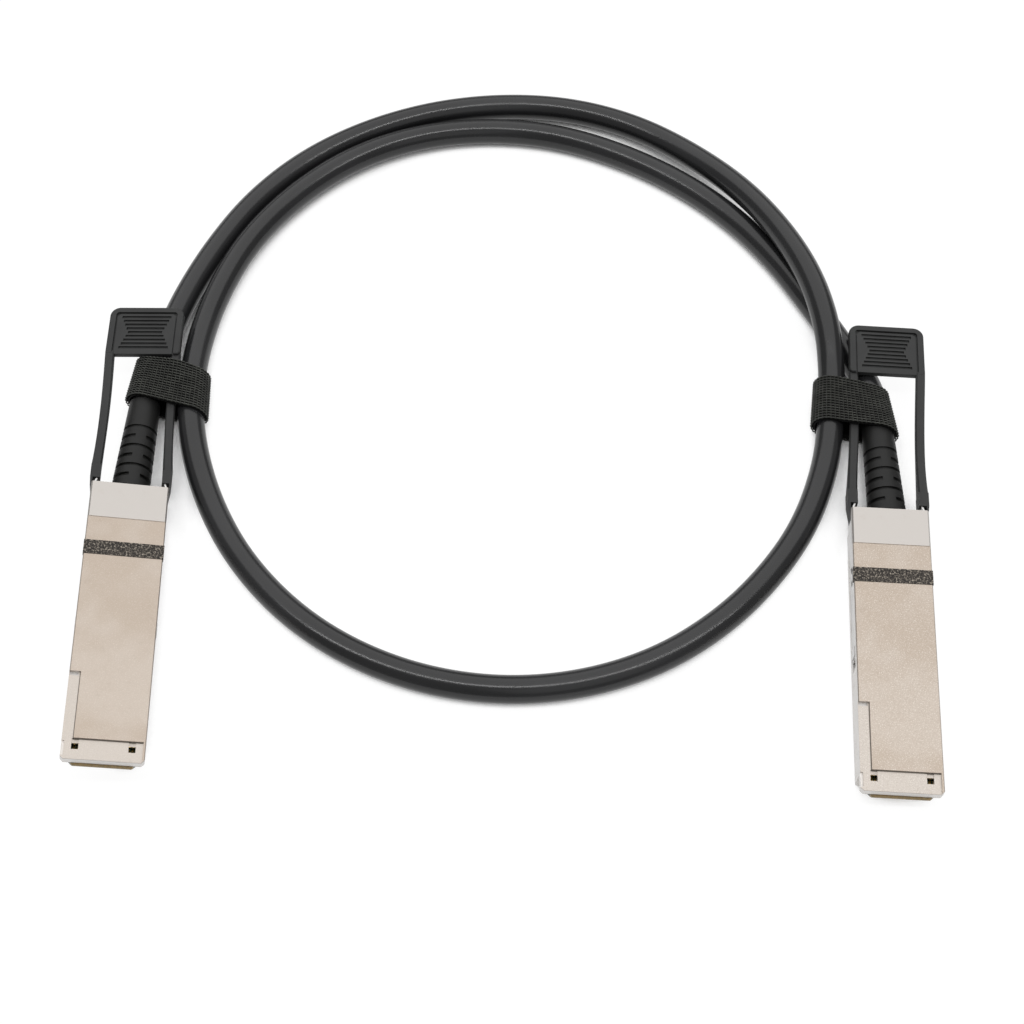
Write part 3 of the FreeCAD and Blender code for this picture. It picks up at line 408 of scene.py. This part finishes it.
@dataclass(frozen=True)
class Moulded:
    """A moulded rubber or plastic with fine grain, faint flow clouds and rubbed spots."""

    colour: Colour
    rubbed: Colour
    roughness: float = 0.55
    grain_scale: float = 5.0
    grain_depth: float = 0.012
    cloud_scale: float = 0.12
    specular: float = 0.5
    cloud_span: Span = (0.35, 0.7)
    dust_fineness: float = 0.22
    dust_span: Span = (0.05, 0.14)
    dust_share: float = 0.25
    dust_gain: float = 2.2

    def make(self, name: str, placement: Matrix | None = None) -> bpy.types.Material:
        """Build the moulding in the model's frame or a plug's."""
        bench = Bench(name)
        place = bench.object_mm(placement)
        clouds = bench.noise(place, self.cloud_scale, 3.0, 0.55)
        grain = bench.noise(place, self.grain_scale, 2.0, 0.6)
        dust = bench.cells(place, self.grain_scale * self.dust_fineness)
        spots = 1 - dust.rise(*self.dust_span)
        pale = tuple(c * self.dust_gain for c in self.rubbed)
        colour = bench.mix(clouds.rise(*self.cloud_span), self.colour, self.rubbed)
        colour = bench.mix(spots * self.dust_share, colour, pale)
        rough = clouds * 0.16 + grain * 0.10 + (self.roughness - 0.13)
        return bench.finish(Base_Color=colour, Roughness=rough,
                            Specular_IOR_Level=self.specular,
                            Normal=bench.bump(grain, self.grain_depth, 0.6))


@dataclass(frozen=True)
class GranularSeal:
    """The conductive sealing strip: packed dark grains with pale metal flakes."""

    dark: Colour = (0.014, 0.0115, 0.009)
    mid: Colour = (0.050, 0.041, 0.033)
    pale: Colour = (0.40, 0.35, 0.29)
    grains: float = 2.1
    stops: Point = (0.42, 0.53, 0.66)
    flake_span: Span = (0.10, 0.22)
    flake_share: float = 0.5
    relief_depth: float = 0.25

    def make(self, name: str, placement: Matrix) -> bpy.types.Material:
        """Build the strip's material in its plug's own frame."""
        bench = Bench(name)
        place = bench.object_mm(placement)
        grain = bench.noise(place, self.grains, 3.0, 0.7)
        flake = bench.cells(place, self.grains)
        stops = list(zip(self.stops, (self.dark, self.mid, self.pale)))
        colour = bench.node("ShaderNodeValToRGB", {"stops": stops}, {0: grain})
        flakes = 1 - flake.rise(*self.flake_span)
        colour = bench.mix(flakes * self.flake_share, colour, self.pale)
        return bench.finish(Base_Color=colour, Roughness=grain * 0.3 + 0.5,
                            Specular_IOR_Level=0.4,
                            Normal=bench.bump(grain, self.relief_depth, 0.9))


@dataclass(frozen=True)
class WovenNylon:
    """Black nylon thread of the ties, with a soft gloss along each loop."""

    colour: Colour = (0.025, 0.026, 0.022)
    worn: Colour = (0.056, 0.058, 0.050)
    roughness: float = 0.45
    specular: float = 0.5
    tone_scale: float = 0.5
    tone_span: Span = (0.35, 0.7)
    fibre: Point = (9.0, 2.0, 9.0)
    fibre_depth: float = 0.03

    def make(self, name: str) -> bpy.types.Material:
        """Build the thread's material in the model's frame."""
        bench = Bench(name)
        place = bench.object_mm()
        tone = bench.noise(place, self.tone_scale, 3.0, 0.6)
        fibre = bench.noise(bench.stretched(place, self.fibre), 1.0, 2.0)
        colour = bench.mix(tone.rise(*self.tone_span), self.colour, self.worn)
        return bench.finish(Base_Color=colour, Roughness=fibre * 0.25 + self.roughness - 0.1,
                            Specular_IOR_Level=self.specular,
                            Normal=bench.bump(fibre, self.fibre_depth, 0.5))


@dataclass(frozen=True)
class CardLaminate:
    """The circuit card: solder mask over glass cloth, with a bare tan edge at its front."""

    mask: Colour = (0.012, 0.035, 0.022)
    core: Colour = (0.30, 0.21, 0.10)
    weave: Colour = (0.03, 0.06, 0.04)
    edge: float = 0.05
    edge_soft: float = 0.1
    cloth: Point = (3.0, 3.0, 1.0)
    cloth_span: Span = (0.4, 0.7)
    cloth_share: float = 0.3
    cloth_depth: float = 0.01

    def make(self, name: str, placement: Matrix) -> bpy.types.Material:
        """Build the card's material in its plug's own frame."""
        bench = Bench(name)
        place = bench.object_mm(placement)
        along = bench.axis(place, "Y")
        bare = 1 - along.rise(self.edge - self.edge_soft, self.edge + self.edge_soft)
        cloth = bench.noise(bench.stretched(place, self.cloth), 1.0, 1.0)
        colour = bench.mix(bare, self.mask, self.core)
        colour = bench.mix(cloth.rise(*self.cloth_span) * self.cloth_share, colour, self.weave)
        return bench.finish(Base_Color=colour, Roughness=cloth * 0.15 + 0.25,
                            Normal=bench.bump(cloth, self.cloth_depth, 0.4))


# ---------------------------------------------------------------- helpers for meshes


def stand(name: str, mesh: bpy.types.Mesh, material: bpy.types.Material,
          smooth: bool = True) -> bpy.types.Object:
    """Put a finished mesh in the scene.

    Args:
        name: the piece's name.
        mesh: its mesh, in the model's frame.
        material: its finish.
        smooth: whether its faces are shaded smooth.

    Returns:
        The object, at the origin.
    """
    piece = bpy.data.objects.new(name, mesh)
    bpy.context.scene.collection.objects.link(piece)
    mesh.materials.clear()
    mesh.materials.append(material)
    mesh.polygons.foreach_set("use_smooth", [smooth] * len(mesh.polygons))
    mesh.update()
    return piece


def evaluated_mesh(piece: bpy.types.Object, name: str) -> bpy.types.Mesh:
    """A piece's mesh with its modifiers or curve settings worked in.

    Args:
        piece: the object to evaluate.
        name: the new mesh's name.

    Returns:
        A plain mesh.
    """
    graph = bpy.context.evaluated_depsgraph_get()
    graph.update()
    mesh = bpy.data.meshes.new_from_object(piece.evaluated_get(graph))
    mesh.name = name
    return mesh


# ---------------------------------------------------------------- camera, light, floor


@dataclass
class Viewpoint:
    """The camera: where it stands, what it looks at, and its lens."""

    location: Point = (-0.0009, -0.2266, 0.3958)
    target: Point = (-0.0009, 0.0106, 0.0)
    roll: float = -0.26
    lens: float = 66.6
    clip: Span = (0.01, 20.0)

    def build(self) -> bpy.types.Object:
        """Make the camera and make it the scene's own.

        Returns:
            The camera object.
        """
        data = bpy.data.cameras.new("viewpoint")
        data.lens = self.lens
        data.clip_start, data.clip_end = self.clip
        camera = bpy.data.objects.new("viewpoint", data)
        bpy.context.scene.collection.objects.link(camera)
        look = (Vector(self.target) - Vector(self.location)).to_track_quat("-Z", "Y")
        turn = look.to_matrix().to_4x4() @ Matrix.Rotation(math.radians(self.roll), 4, "Z")
        camera.matrix_world = Matrix.Translation(self.location) @ turn
        bpy.context.scene.camera = camera
        return camera


@dataclass(frozen=True)
class Lamp:
    """One rectangular lamp: its place, what it faces, its two sides and its power."""

    name: str
    place: Point
    aim: Point
    wide: float
    deep: float
    power: float

    def build(self) -> None:
        """Hang the lamp."""
        data = bpy.data.lights.new(self.name, "AREA")
        data.shape, data.energy = "RECTANGLE", self.power
        data.size, data.size_y = self.wide, self.deep
        lamp = bpy.data.objects.new(self.name, data)
        lamp.location = self.place
        line = Vector(self.aim) - Vector(self.place)
        lamp.rotation_euler = line.to_track_quat("-Z", "Y").to_euler()
        bpy.context.scene.collection.objects.link(lamp)


@dataclass
class Studio:
    """A pale floor, an even surround, a wide softbox behind and a strip overhead."""

    surround: float = 0.38
    floor_size: float = 6.0
    floor_drop: float = 0.0001
    gap_reach: float = 0.009
    floor_colour: Colour = (0.90, 0.90, 0.90)
    floor_glow: float = 1.05
    gap_dark: float = 0.28
    gap_pale: float = 0.50
    seen_share: float = 0.90
    mirrored_share: float = 0.5
    gap_samples: int = 8
    lamps: tuple[Lamp, ...] = (
        Lamp("rear_softbox", (0.0, 0.75, 1.10), (0.0, 0.05, 0.0), 2.4, 1.8, 14.4),
        Lamp("overhead_strip", (0.0, -0.20, 1.60), (0.0, 0.0, 0.0), 2.4, 0.12, 11.0),
        Lamp("front_fill", (0.35, -0.9, 1.0), (0.0, 0.0, 0.0), 0.9, 0.9, 1.0))

    def build(self) -> None:
        """Make the world, the lamps and the floor."""
        self._world()
        for lamp in self.lamps:
            lamp.build()
        self._floor()
        settings = bpy.context.scene.view_settings
        settings.view_transform = "Standard"

    def _world(self) -> None:
        """An even surround that the camera sees as white."""
        world = bpy.data.worlds.new("surround")
        bpy.context.scene.world = world
        world.use_nodes = True
        tree = Tree(world.node_tree)
        seen = tree.node("ShaderNodeLightPath", out="Is Camera Ray")
        light = tree.node("ShaderNodeBackground", {}, {"Strength": self.surround})
        white = tree.node("ShaderNodeBackground", {}, {"Color": (1.0, 1.0, 1.0, 1.0)})
        surround = tree.node("ShaderNodeMixShader", {}, {0: seen, 1: light, 2: white})
        tree.node("ShaderNodeOutputWorld", {}, {0: surround})

    def _floor(self) -> None:
        """A plain floor that keeps a faint shadow but reads white."""
        half = self.floor_size / 2
        corners = [(-half, -half), (half, -half), (half, half), (-half, half)]
        mesh = bpy.data.meshes.new("floor")
        mesh.from_pydata([(x, y, -self.floor_drop) for x, y in corners], [], [(0, 1, 2, 3)])
        bench = Bench("pale_floor")
        shade = bench.node("ShaderNodeBsdfDiffuse", {}, {"Color": (*self.floor_colour, 1.0)})
        glow = bench.node("ShaderNodeEmission", {}, {"Strength": self.floor_glow})
        seen = bench.node("ShaderNodeLightPath", out="Is Camera Ray")
        mirrored = bench.node("ShaderNodeLightPath", out="Is Glossy Ray")
        open_sky = bench.node("ShaderNodeAmbientOcclusion", {"samples": self.gap_samples},
                              {"Distance": self.gap_reach}, out="AO")
        lit = open_sky.rise(self.gap_dark, self.gap_pale) * self.seen_share
        share = seen * lit + mirrored * self.mirrored_share
        blend = bench.node("ShaderNodeMixShader", {}, {0: share, 1: shade, 2: glow})
        bench.node("ShaderNodeOutputMaterial", {}, {0: blend})
        stand("floor", mesh, bench.material, smooth=False)


# ---------------------------------------------------------------- the free cable


@dataclass
class FreeCable:
    """The round cable between the two boots' mouths, laid along its route."""

    diameter: float = 0.0067
    length: float = 0.822
    steps: int = 10
    section_steps: int = 8
    left_mouth: tuple[Point, ...] = ((-92.0, 38.5, 5.7), (-91.7, 44.3, 5.6))
    right_mouth: tuple[Point, ...] = ((89.3, 37.6, 5.3), (89.3, 31.8, 5.1))
    route: tuple[Point, ...] = (
        (-91.0, 50.0, 5.2), (-88.9, 59.5, 4.2), (-85.3, 74.0, 3.4), (-78.5, 90.1, 3.4),
        (-69.3, 106.0, 3.4), (-56.5, 119.8, 3.4), (-41.0, 130.0, 3.4), (-23.3, 136.9, 3.4),
        (-4.5, 139.8, 3.4), (14.6, 138.6, 3.4), (32.3, 132.4, 3.6), (47.3, 121.4, 4.7),
        (60.5, 106.5, 7.2), (69.6, 90.2, 9.8), (75.9, 74.0, 11.0), (79.0, 58.0, 10.2),
        (79.4, 45.8, 6.1), (78.1, 33.0, 5.2), (75.8, 20.3, 3.7), (69.8, 4.8, 3.4),
        (60.8, -8.7, 3.4), (49.1, -20.9, 3.4), (34.2, -31.1, 3.4), (17.0, -37.3, 3.4),
        (-1.5, -39.3, 3.4), (-20.2, -36.7, 3.4), (-37.4, -29.9, 3.4), (-52.5, -19.5, 3.4),
        (-65.3, -5.2, 3.4), (-74.2, 11.0, 3.4), (-79.5, 27.4, 4.6), (-81.3, 42.5, 5.3),
        (-80.5, 58.3, 4.6), (-76.8, 75.0, 4.5), (-69.8, 92.0, 4.6), (-58.2, 107.5, 4.6),
        (-43.7, 120.0, 4.5), (-26.6, 128.0, 4.0), (-8.0, 130.9, 3.5), (11.0, 128.9, 3.4),
        (28.8, 121.9, 3.4), (45.0, 111.8, 3.4), (58.5, 99.4, 3.4), (68.9, 85.3, 3.4),
        (76.2, 71.7, 3.4), (81.6, 60.8, 3.4), (86.1, 51.4, 3.5), (88.5, 44.0, 4.6))
    jacket: Moulded = Moulded((0.0125, 0.0125, 0.0132), (0.017, 0.0172, 0.0182), 0.23,
                              4.0, 0.004, 0.035)

    def build(self, ties: Sequence[bpy.types.Object]) -> bpy.types.Object:
        """Make the cable as one smooth spline with a round section.

        Args:
            ties: the pieces that hold it; not used.

        Returns:
            The cable.
        """
        points = [*self.left_mouth, *self.route, *self.right_mouth]
        curve = bpy.data.curves.new("cable_line", "CURVE")
        curve.dimensions = "3D"
        curve.resolution_u = self.steps
        curve.bevel_depth = self.diameter / 2
        curve.bevel_resolution = self.section_steps
        curve.use_fill_caps = True
        spline = curve.splines.new("NURBS")
        spline.points.add(len(points) - 1)
        for knot, point in zip(spline.points, points):
            knot.co = (*(c * MM for c in point), 1.0)
        spline.use_endpoint_u = True
        spline.order_u = 3
        cable = bpy.data.objects.new("round_cable", curve)
        bpy.context.scene.collection.objects.link(cable)
        curve.materials.append(self.jacket.make("cable_jacket"))
        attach(cable, ROOT)
        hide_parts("cable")
        log.info("%s: %d route points", cable.name, len(points))
        return cable


# ---------------------------------------------------------------- woven ties


@dataclass(frozen=True)
class Held:
    """One round thing inside a tie, from the tie's near edge to its far edge."""

    near: Point
    far: Point
    near_radius: float
    far_radius: float


@dataclass
class WovenTie:
    """A hook-and-loop strap pulled snug round the strands: plain plies and woven threads."""

    side: Side
    centre: Point
    heading: float
    slant: float
    held: tuple[Held, ...]
    slack: float = 0.06
    ply: float = 0.34
    plies: int = 2
    width: float = 11.8
    facets: int = 240
    rib_pitch: float = 0.72
    cross_pitch: float = 1.0
    arch: float = 0.36
    rib_radius: float = 0.18
    cross_radius: float = 0.11
    arch_steps: int = 6
    sunk: float = 0.15
    cross_lift: float = 0.25
    cross_steps: int = 12
    ply_shift: float = 0.35
    ply_rows: int = 8
    ply_fineness: int = 3

    def frame(self) -> Matrix:
        """The tie's own frame: X across the strands, Y along them, in millimetres."""
        turn = Matrix.Rotation(math.radians(-self.heading), 4, "Z")
        return Matrix.Translation(self.centre) @ turn

    def outline(self, share: float, lift: float) -> list[tuple[Vector, Vector]]:
        """The taut line round everything held, as points with outward directions.

        Args:
            share: the place along the strands, 0 at the near edge and 1 at the far one.
            lift: how far the line stays off what is held.

        Returns:
            Places and directions in the tie's X-Z plane, from the -X side over the top.
        """
        home = self.frame().inverted()
        discs = []
        for item in self.held:
            middle = home @ Vector(item.near).lerp(Vector(item.far), share)
            radius = item.near_radius + (item.far_radius - item.near_radius) * share
            discs.append((middle.x, middle.z, radius + lift))
        line = []
        for step in range(self.facets):
            angle = 2 * math.pi * (step / self.facets - 0.25)
            out = Vector((math.sin(angle), 0, math.cos(angle)))
            x, z, radius = max(discs, key=lambda d: d[0] * out.x + d[1] * out.z + d[2])
            line.append((Vector((x, 0, z)) + out * radius, out))
        return line

    def spaced(self, share: float, lift: float, count: int) -> list[tuple[Vector, Vector]]:
        """The outline again, as evenly spaced places.

        Args:
            share: the place along the strands.
            lift: how far the line stays off what is held.
            count: the number of places.

        Returns:
            Places with their outward directions, in the tie's own frame.
        """
        line = self.outline(share, lift)
        line.append(line[0])
        gaps = [(b[0] - a[0]).length for a, b in zip(line, line[1:])]
        pitch = sum(gaps) / count
        places, walked, k = [], 0.0, 0
        for i in range(count):
            while walked + gaps[k] < i * pitch:
                walked += gaps[k]
                k += 1
            part = (i * pitch - walked) / max(gaps[k], TINY)
            spot = line[k][0].lerp(line[k + 1][0], part)
            spot.y = (share - 0.5) * self.width + math.tan(math.radians(self.slant)) * spot.x
            places.append((spot, line[k][1].lerp(line[k + 1][1], part).normalized()))
        return places

    def columns(self) -> int:
        """How many cross threads fit round the strap."""
        line = self.outline(0.5, self.slack + self.ply * self.plies)
        around = sum((b[0] - a[0]).length for a, b in zip(line, line[1:] + line[:1]))
        return round(around / self.cross_pitch)

    def band(self, lift: float, shift: float) -> bpy.types.Mesh:
        """One ply of the strap as a closed ring with thickness.

        Args:
            lift: how far its inner face stays off what is held.
            shift: how far it lies off the strap's middle, along the strands.

        Returns:
            The ply's mesh, in the model's frame.
        """
        place = self.frame()
        rows, count = self.ply_rows, self.columns() * self.ply_fineness
        build = bmesh.new()
        grid = []
        for j in [*range(rows + 1), *range(rows, -1, -1)]:
            thick = self.ply if len(grid) > rows else 0.0
            ring = []
            for spot, out in self.spaced(j / rows, lift, count):
                spot.y += shift
                ring.append(build.verts.new((place @ (spot + out * thick)) * MM))
            grid.append(ring)
        for here, there in zip(grid, grid[1:] + grid[:1]):
            for k in range(count):
                ahead = (k + 1) % count
                build.faces.new((here[k], here[ahead], there[ahead], there[k]))
        bmesh.ops.recalc_face_normals(build, faces=build.faces)
        mesh = bpy.data.meshes.new("%s_ply" % self.side.value)
        build.to_mesh(mesh)
        build.free()
        return mesh

    def rib_lines(self) -> bpy.types.Mesh:
        """The threads along the strap, which arch up between the cross threads."""
        ribs = round(self.width / self.rib_pitch)
        base = self.slack + self.ply * self.plies
        count = self.columns() * self.arch_steps
        lines = []
        for j in range(ribs + 1):
            line = []
            for i, (spot, out) in enumerate(self.spaced(j / ribs, base, count)):
                swing = abs(math.sin(math.pi * i / self.arch_steps))
                rise = self.sunk + (1 - self.sunk) * swing
                line.append(spot + out * (self.arch * rise))
            lines.append(line + line[:1])
        return self.wires("ribs", lines)

    def cross_lines(self) -> bpy.types.Mesh:
        """The threads across the strap, one under each row of arches."""
        base = self.slack + self.ply * self.plies
        count, rows = self.columns(), self.cross_steps
        rings = [self.spaced(j / rows, base, count) for j in range(rows + 1)]
        lift = self.arch * self.cross_lift
        lines = [[ring[i][0] + ring[i][1] * lift for ring in rings] for i in range(count)]
        return self.wires("crosses", lines)

    def wires(self, name: str, lines: Sequence[Sequence[Vector]]) -> bpy.types.Mesh:
        """Lines of edges in the model's frame.

        Args:
            name: what the lines are.
            lines: their points in the tie's own frame.

        Returns:
            A mesh of points and edges.
        """
        place = self.frame()
        spots, edges = [], []
        for line in lines:
            first = len(spots)
            spots.extend((place @ spot) * MM for spot in line)
            edges.extend((k, k + 1) for k in range(first, len(spots) - 1))
        mesh = bpy.data.meshes.new("%s_%s" % (self.side.value, name))
        mesh.from_pydata(spots, edges, [])
        return mesh

    def build(self, cloth: WovenNylon, yarn: WovenNylon) -> bpy.types.Object:
        """Make the tie as one piece: its plies and the threads woven over the outer one.

        Args:
            cloth: the plies' finish.
            yarn: the threads' finish.

        Returns:
            The tie.
        """
        under = cloth.make("%s_tie_cloth" % self.side.value)
        over = yarn.make("%s_tie_yarn" % self.side.value)
        build = bmesh.new()
        for number in range(self.plies):
            lift, shift = self.slack + number * self.ply, self.ply_shift * (number - 0.5)
            build.from_mesh(self.band(lift, shift))
        plain = len(build.faces)
        tree = ThreadTree(over).build()
        for lines, radius in ((self.rib_lines(), self.rib_radius),
                              (self.cross_lines(), self.cross_radius)):
            build.from_mesh(ThreadTree.spin(tree, lines, radius * MM))
        mesh = bpy.data.meshes.new("%s_woven_tie" % self.side.value)
        build.to_mesh(mesh)
        build.free()
        tie = stand("%s_woven_tie" % self.side.value, mesh, under)
        mesh.materials.append(over)
        woven = [int(face.index >= plain) for face in mesh.polygons]
        mesh.polygons.foreach_set("material_index", woven)
        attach(tie, ROOT)
        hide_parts("%s_tie" % self.side.value)
        log.info("%s: %d faces", tie.name, len(mesh.polygons))
        return tie


@dataclass
class ThreadTree:
    """The node tree that turns lines of edges into round threads."""

    thread: bpy.types.Material

    def build(self) -> bpy.types.NodeTree:
        """Make the tree, with the thread's radius and number of sides as named inputs.

        Returns:
            The tree.
        """
        group = bpy.data.node_groups.new("woven_threads", "GeometryNodeTree")
        for name, way, kind in (("Geometry", "INPUT", "NodeSocketGeometry"),
                                ("Radius", "INPUT", "NodeSocketFloat"),
                                ("Sides", "INPUT", "NodeSocketInt"),
                                ("Geometry", "OUTPUT", "NodeSocketGeometry")):
            group.interface.new_socket(name, in_out=way, socket_type=kind)
        tree = Tree(group)
        lines, radius, sides = (tree.node("NodeGroupInput", out=name)
                                for name in ("Geometry", "Radius", "Sides"))
        line = tree.node("GeometryNodeMeshToCurve", {}, {"Mesh": lines})
        ring = tree.node("GeometryNodeCurvePrimitiveCircle", {},
                         {"Radius": radius, "Resolution": sides})
        tube = tree.node("GeometryNodeCurveToMesh", {},
                         {"Curve": line, "Profile Curve": ring, "Fill Caps": True})
        real = tree.node("GeometryNodeRealizeInstances", {}, {0: tube})
        worn = tree.node("GeometryNodeSetMaterial", {},
                         {"Geometry": real, "Material": self.thread})
        tree.node("NodeGroupOutput", {}, {0: worn})
        return group

    @staticmethod
    def spin(tree: bpy.types.NodeTree, lines: bpy.types.Mesh, radius: float,
             sides: int = 6) -> bpy.types.Mesh:
        """Run the tree on one mesh of lines.

        Args:
            tree: the tree.
            lines: points and edges in the model's frame.
            radius: the threads' radius in metres.
            sides: the number of sides of a thread's section.

        Returns:
            The threads as one mesh.
        """
        holder = bpy.data.objects.new(lines.name, lines)
        bpy.context.scene.collection.objects.link(holder)
        modifier = holder.modifiers.new("threads", "NODES")
        modifier.node_group = tree
        sizes = {"Radius": radius, "Sides": sides}
        for item in tree.interface.items_tree:
            if item.item_type == "SOCKET" and item.in_out == "INPUT" and item.name in sizes:
                modifier[item.identifier] = sizes[item.name]
        mesh = evaluated_mesh(holder, lines.name + "_threads")
        bpy.data.objects.remove(holder)
        return mesh


# ---------------------------------------------------------------- plugs


@dataclass
class Plug:
    """One plug: the finishes of its fixed, moving and hidden pieces."""

    side: Side
    nose: Point
    heading: float
    pitch: float
    roll: float
    grain: float

    def placement(self) -> Matrix:
        """The plug's own frame in metres: Y from the nose to the rear, Z up."""
        turn = Euler((math.radians(-self.pitch), math.radians(self.roll),
                      math.radians(-self.heading)), "YXZ")
        return Matrix.LocRotScale([c * MM for c in self.nose], turn, None)

    def free_springs(self) -> bpy.types.Object:
        """The return springs as coils, copied from the plug's spring node.

        Returns:
            The pair of springs, which stand for the plug's rigid ones.
        """
        node, name = "%s_return_springs" % self.side.value, "%s_coils" % self.side.value
        place = self.placement()
        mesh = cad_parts[node].data.copy()
        mesh.name = name
        springs = stand(name, mesh, Metal((0.5, 0.5, 0.48), 0.3).make(name, place))
        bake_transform(springs)
        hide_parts(node)
        log.info("%s: %d faces", name, len(mesh.polygons))
        return springs

    def dress(self) -> None:
        """Give every node of the plug its finish."""
        place = self.placement()
        shell = DieCastPlate(grain=self.grain)
        steel = Metal((0.62, 0.61, 0.60), 0.30)
        finishes = {
            "upper_shell": shell, "lower_shell": shell, "latch_slider": steel,
            "shell_screws": Metal((0.45, 0.44, 0.42), 0.35),
            "upper_gasket": GranularSeal(), "lower_gasket": GranularSeal(),
            "paddle_card": CardLaminate(),
            "contact_pads": Metal((0.85, 0.60, 0.22), 0.22),
            "memory_chip": Moulded((0.018, 0.018, 0.02), (0.03, 0.03, 0.032), 0.5),
            "wire_pairs": Metal((0.66, 0.67, 0.69), 0.25),
            "wire_comb": Moulded((0.42, 0.42, 0.40), (0.5, 0.5, 0.47), 0.5),
            "crimp_ferrule": Metal((0.66, 0.50, 0.26), 0.3),
            "shield_braid": Metal((0.6, 0.55, 0.48), 0.4, (5.0, 5.0, 5.0), 0.05),
            "pull_tab": Moulded((0.0215, 0.0217, 0.0218), (0.030, 0.0307, 0.0304), 0.58,
                                6.0, 0.010, 0.10, 0.4),
            "strain_relief": Moulded((0.0075, 0.0075, 0.0072), (0.0115, 0.0115, 0.011), 0.5,
                                     5.0, 0.012, 0.15, 0.32),
            "jacket_end": Moulded((0.0165, 0.0165, 0.0172), (0.024, 0.0242, 0.0255), 0.45),
        }
        for piece, finish in finishes.items():
            node = "%s_%s" % (self.side.value, piece)
            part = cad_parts[node]
            part.data.materials.clear()
            part.data.materials.append(finish.make(node, place))
            log.info("%s: %s", node, type(finish).__name__)


def strap_ties() -> list[WovenTie]:
    """The two ties, each with the strands, the boot's mouth and the tab's arm inside it.

    Returns:
        The left and the right tie.
    """
    cable, mouth, arm_edge = 3.37, 3.86, 0.35
    left = WovenTie(Side.LEFT, (-86.4, 43.5, 5.5), 1.5, -11.0, (
        Held((-92.0, 37.2, 5.75), (-91.0, 49.0, 5.25), mouth, cable),
        Held((-80.6, 37.2, 5.05), (-80.9, 49.0, 5.0), cable, cable),
        Held((-85.9, 37.2, 7.75), (-85.5, 49.0, 9.2), arm_edge, arm_edge),
        Held((-84.3, 37.2, 7.75), (-84.1, 49.0, 9.2), arm_edge, arm_edge)))
    right = WovenTie(Side.RIGHT, (83.8, 36.4, 5.2), 1.0, -10.0, (
        Held((89.3, 30.2, 5.12), (88.7, 42.0, 4.75), mouth, cable),
        Held((77.5, 30.2, 4.85), (79.0, 42.0, 5.95), cable, cable),
        Held((82.5, 30.2, 7.25), (83.4, 42.0, 8.5), arm_edge, arm_edge),
        Held((84.0, 30.2, 7.25), (84.9, 42.0, 8.5), arm_edge, arm_edge)))
    return [left, right]


def main() -> None:
    """Build the camera and light, the ties, the cable and the plugs' finishes."""
    Viewpoint().build()
    Studio().build()
    cloth = WovenNylon((0.003, 0.003, 0.003), (0.006, 0.006, 0.005), 0.7, 0.12)
    ties = [tie.build(cloth, WovenNylon()) for tie in strap_ties()]
    FreeCable().build(ties)
    for plug in (Plug(Side.LEFT, (-92.61, -59.85, 4.18), -1.1, 1.8, 12.0, 0.35),
                 Plug(Side.RIGHT, (84.5, -66.24, 0.0), 3.8, 0.0, 0.0, 0.9)):
        plug.dress()
        plug.free_springs()


if __name__ == "__main__":
    logging.basicConfig(level=logging.INFO)
    main()
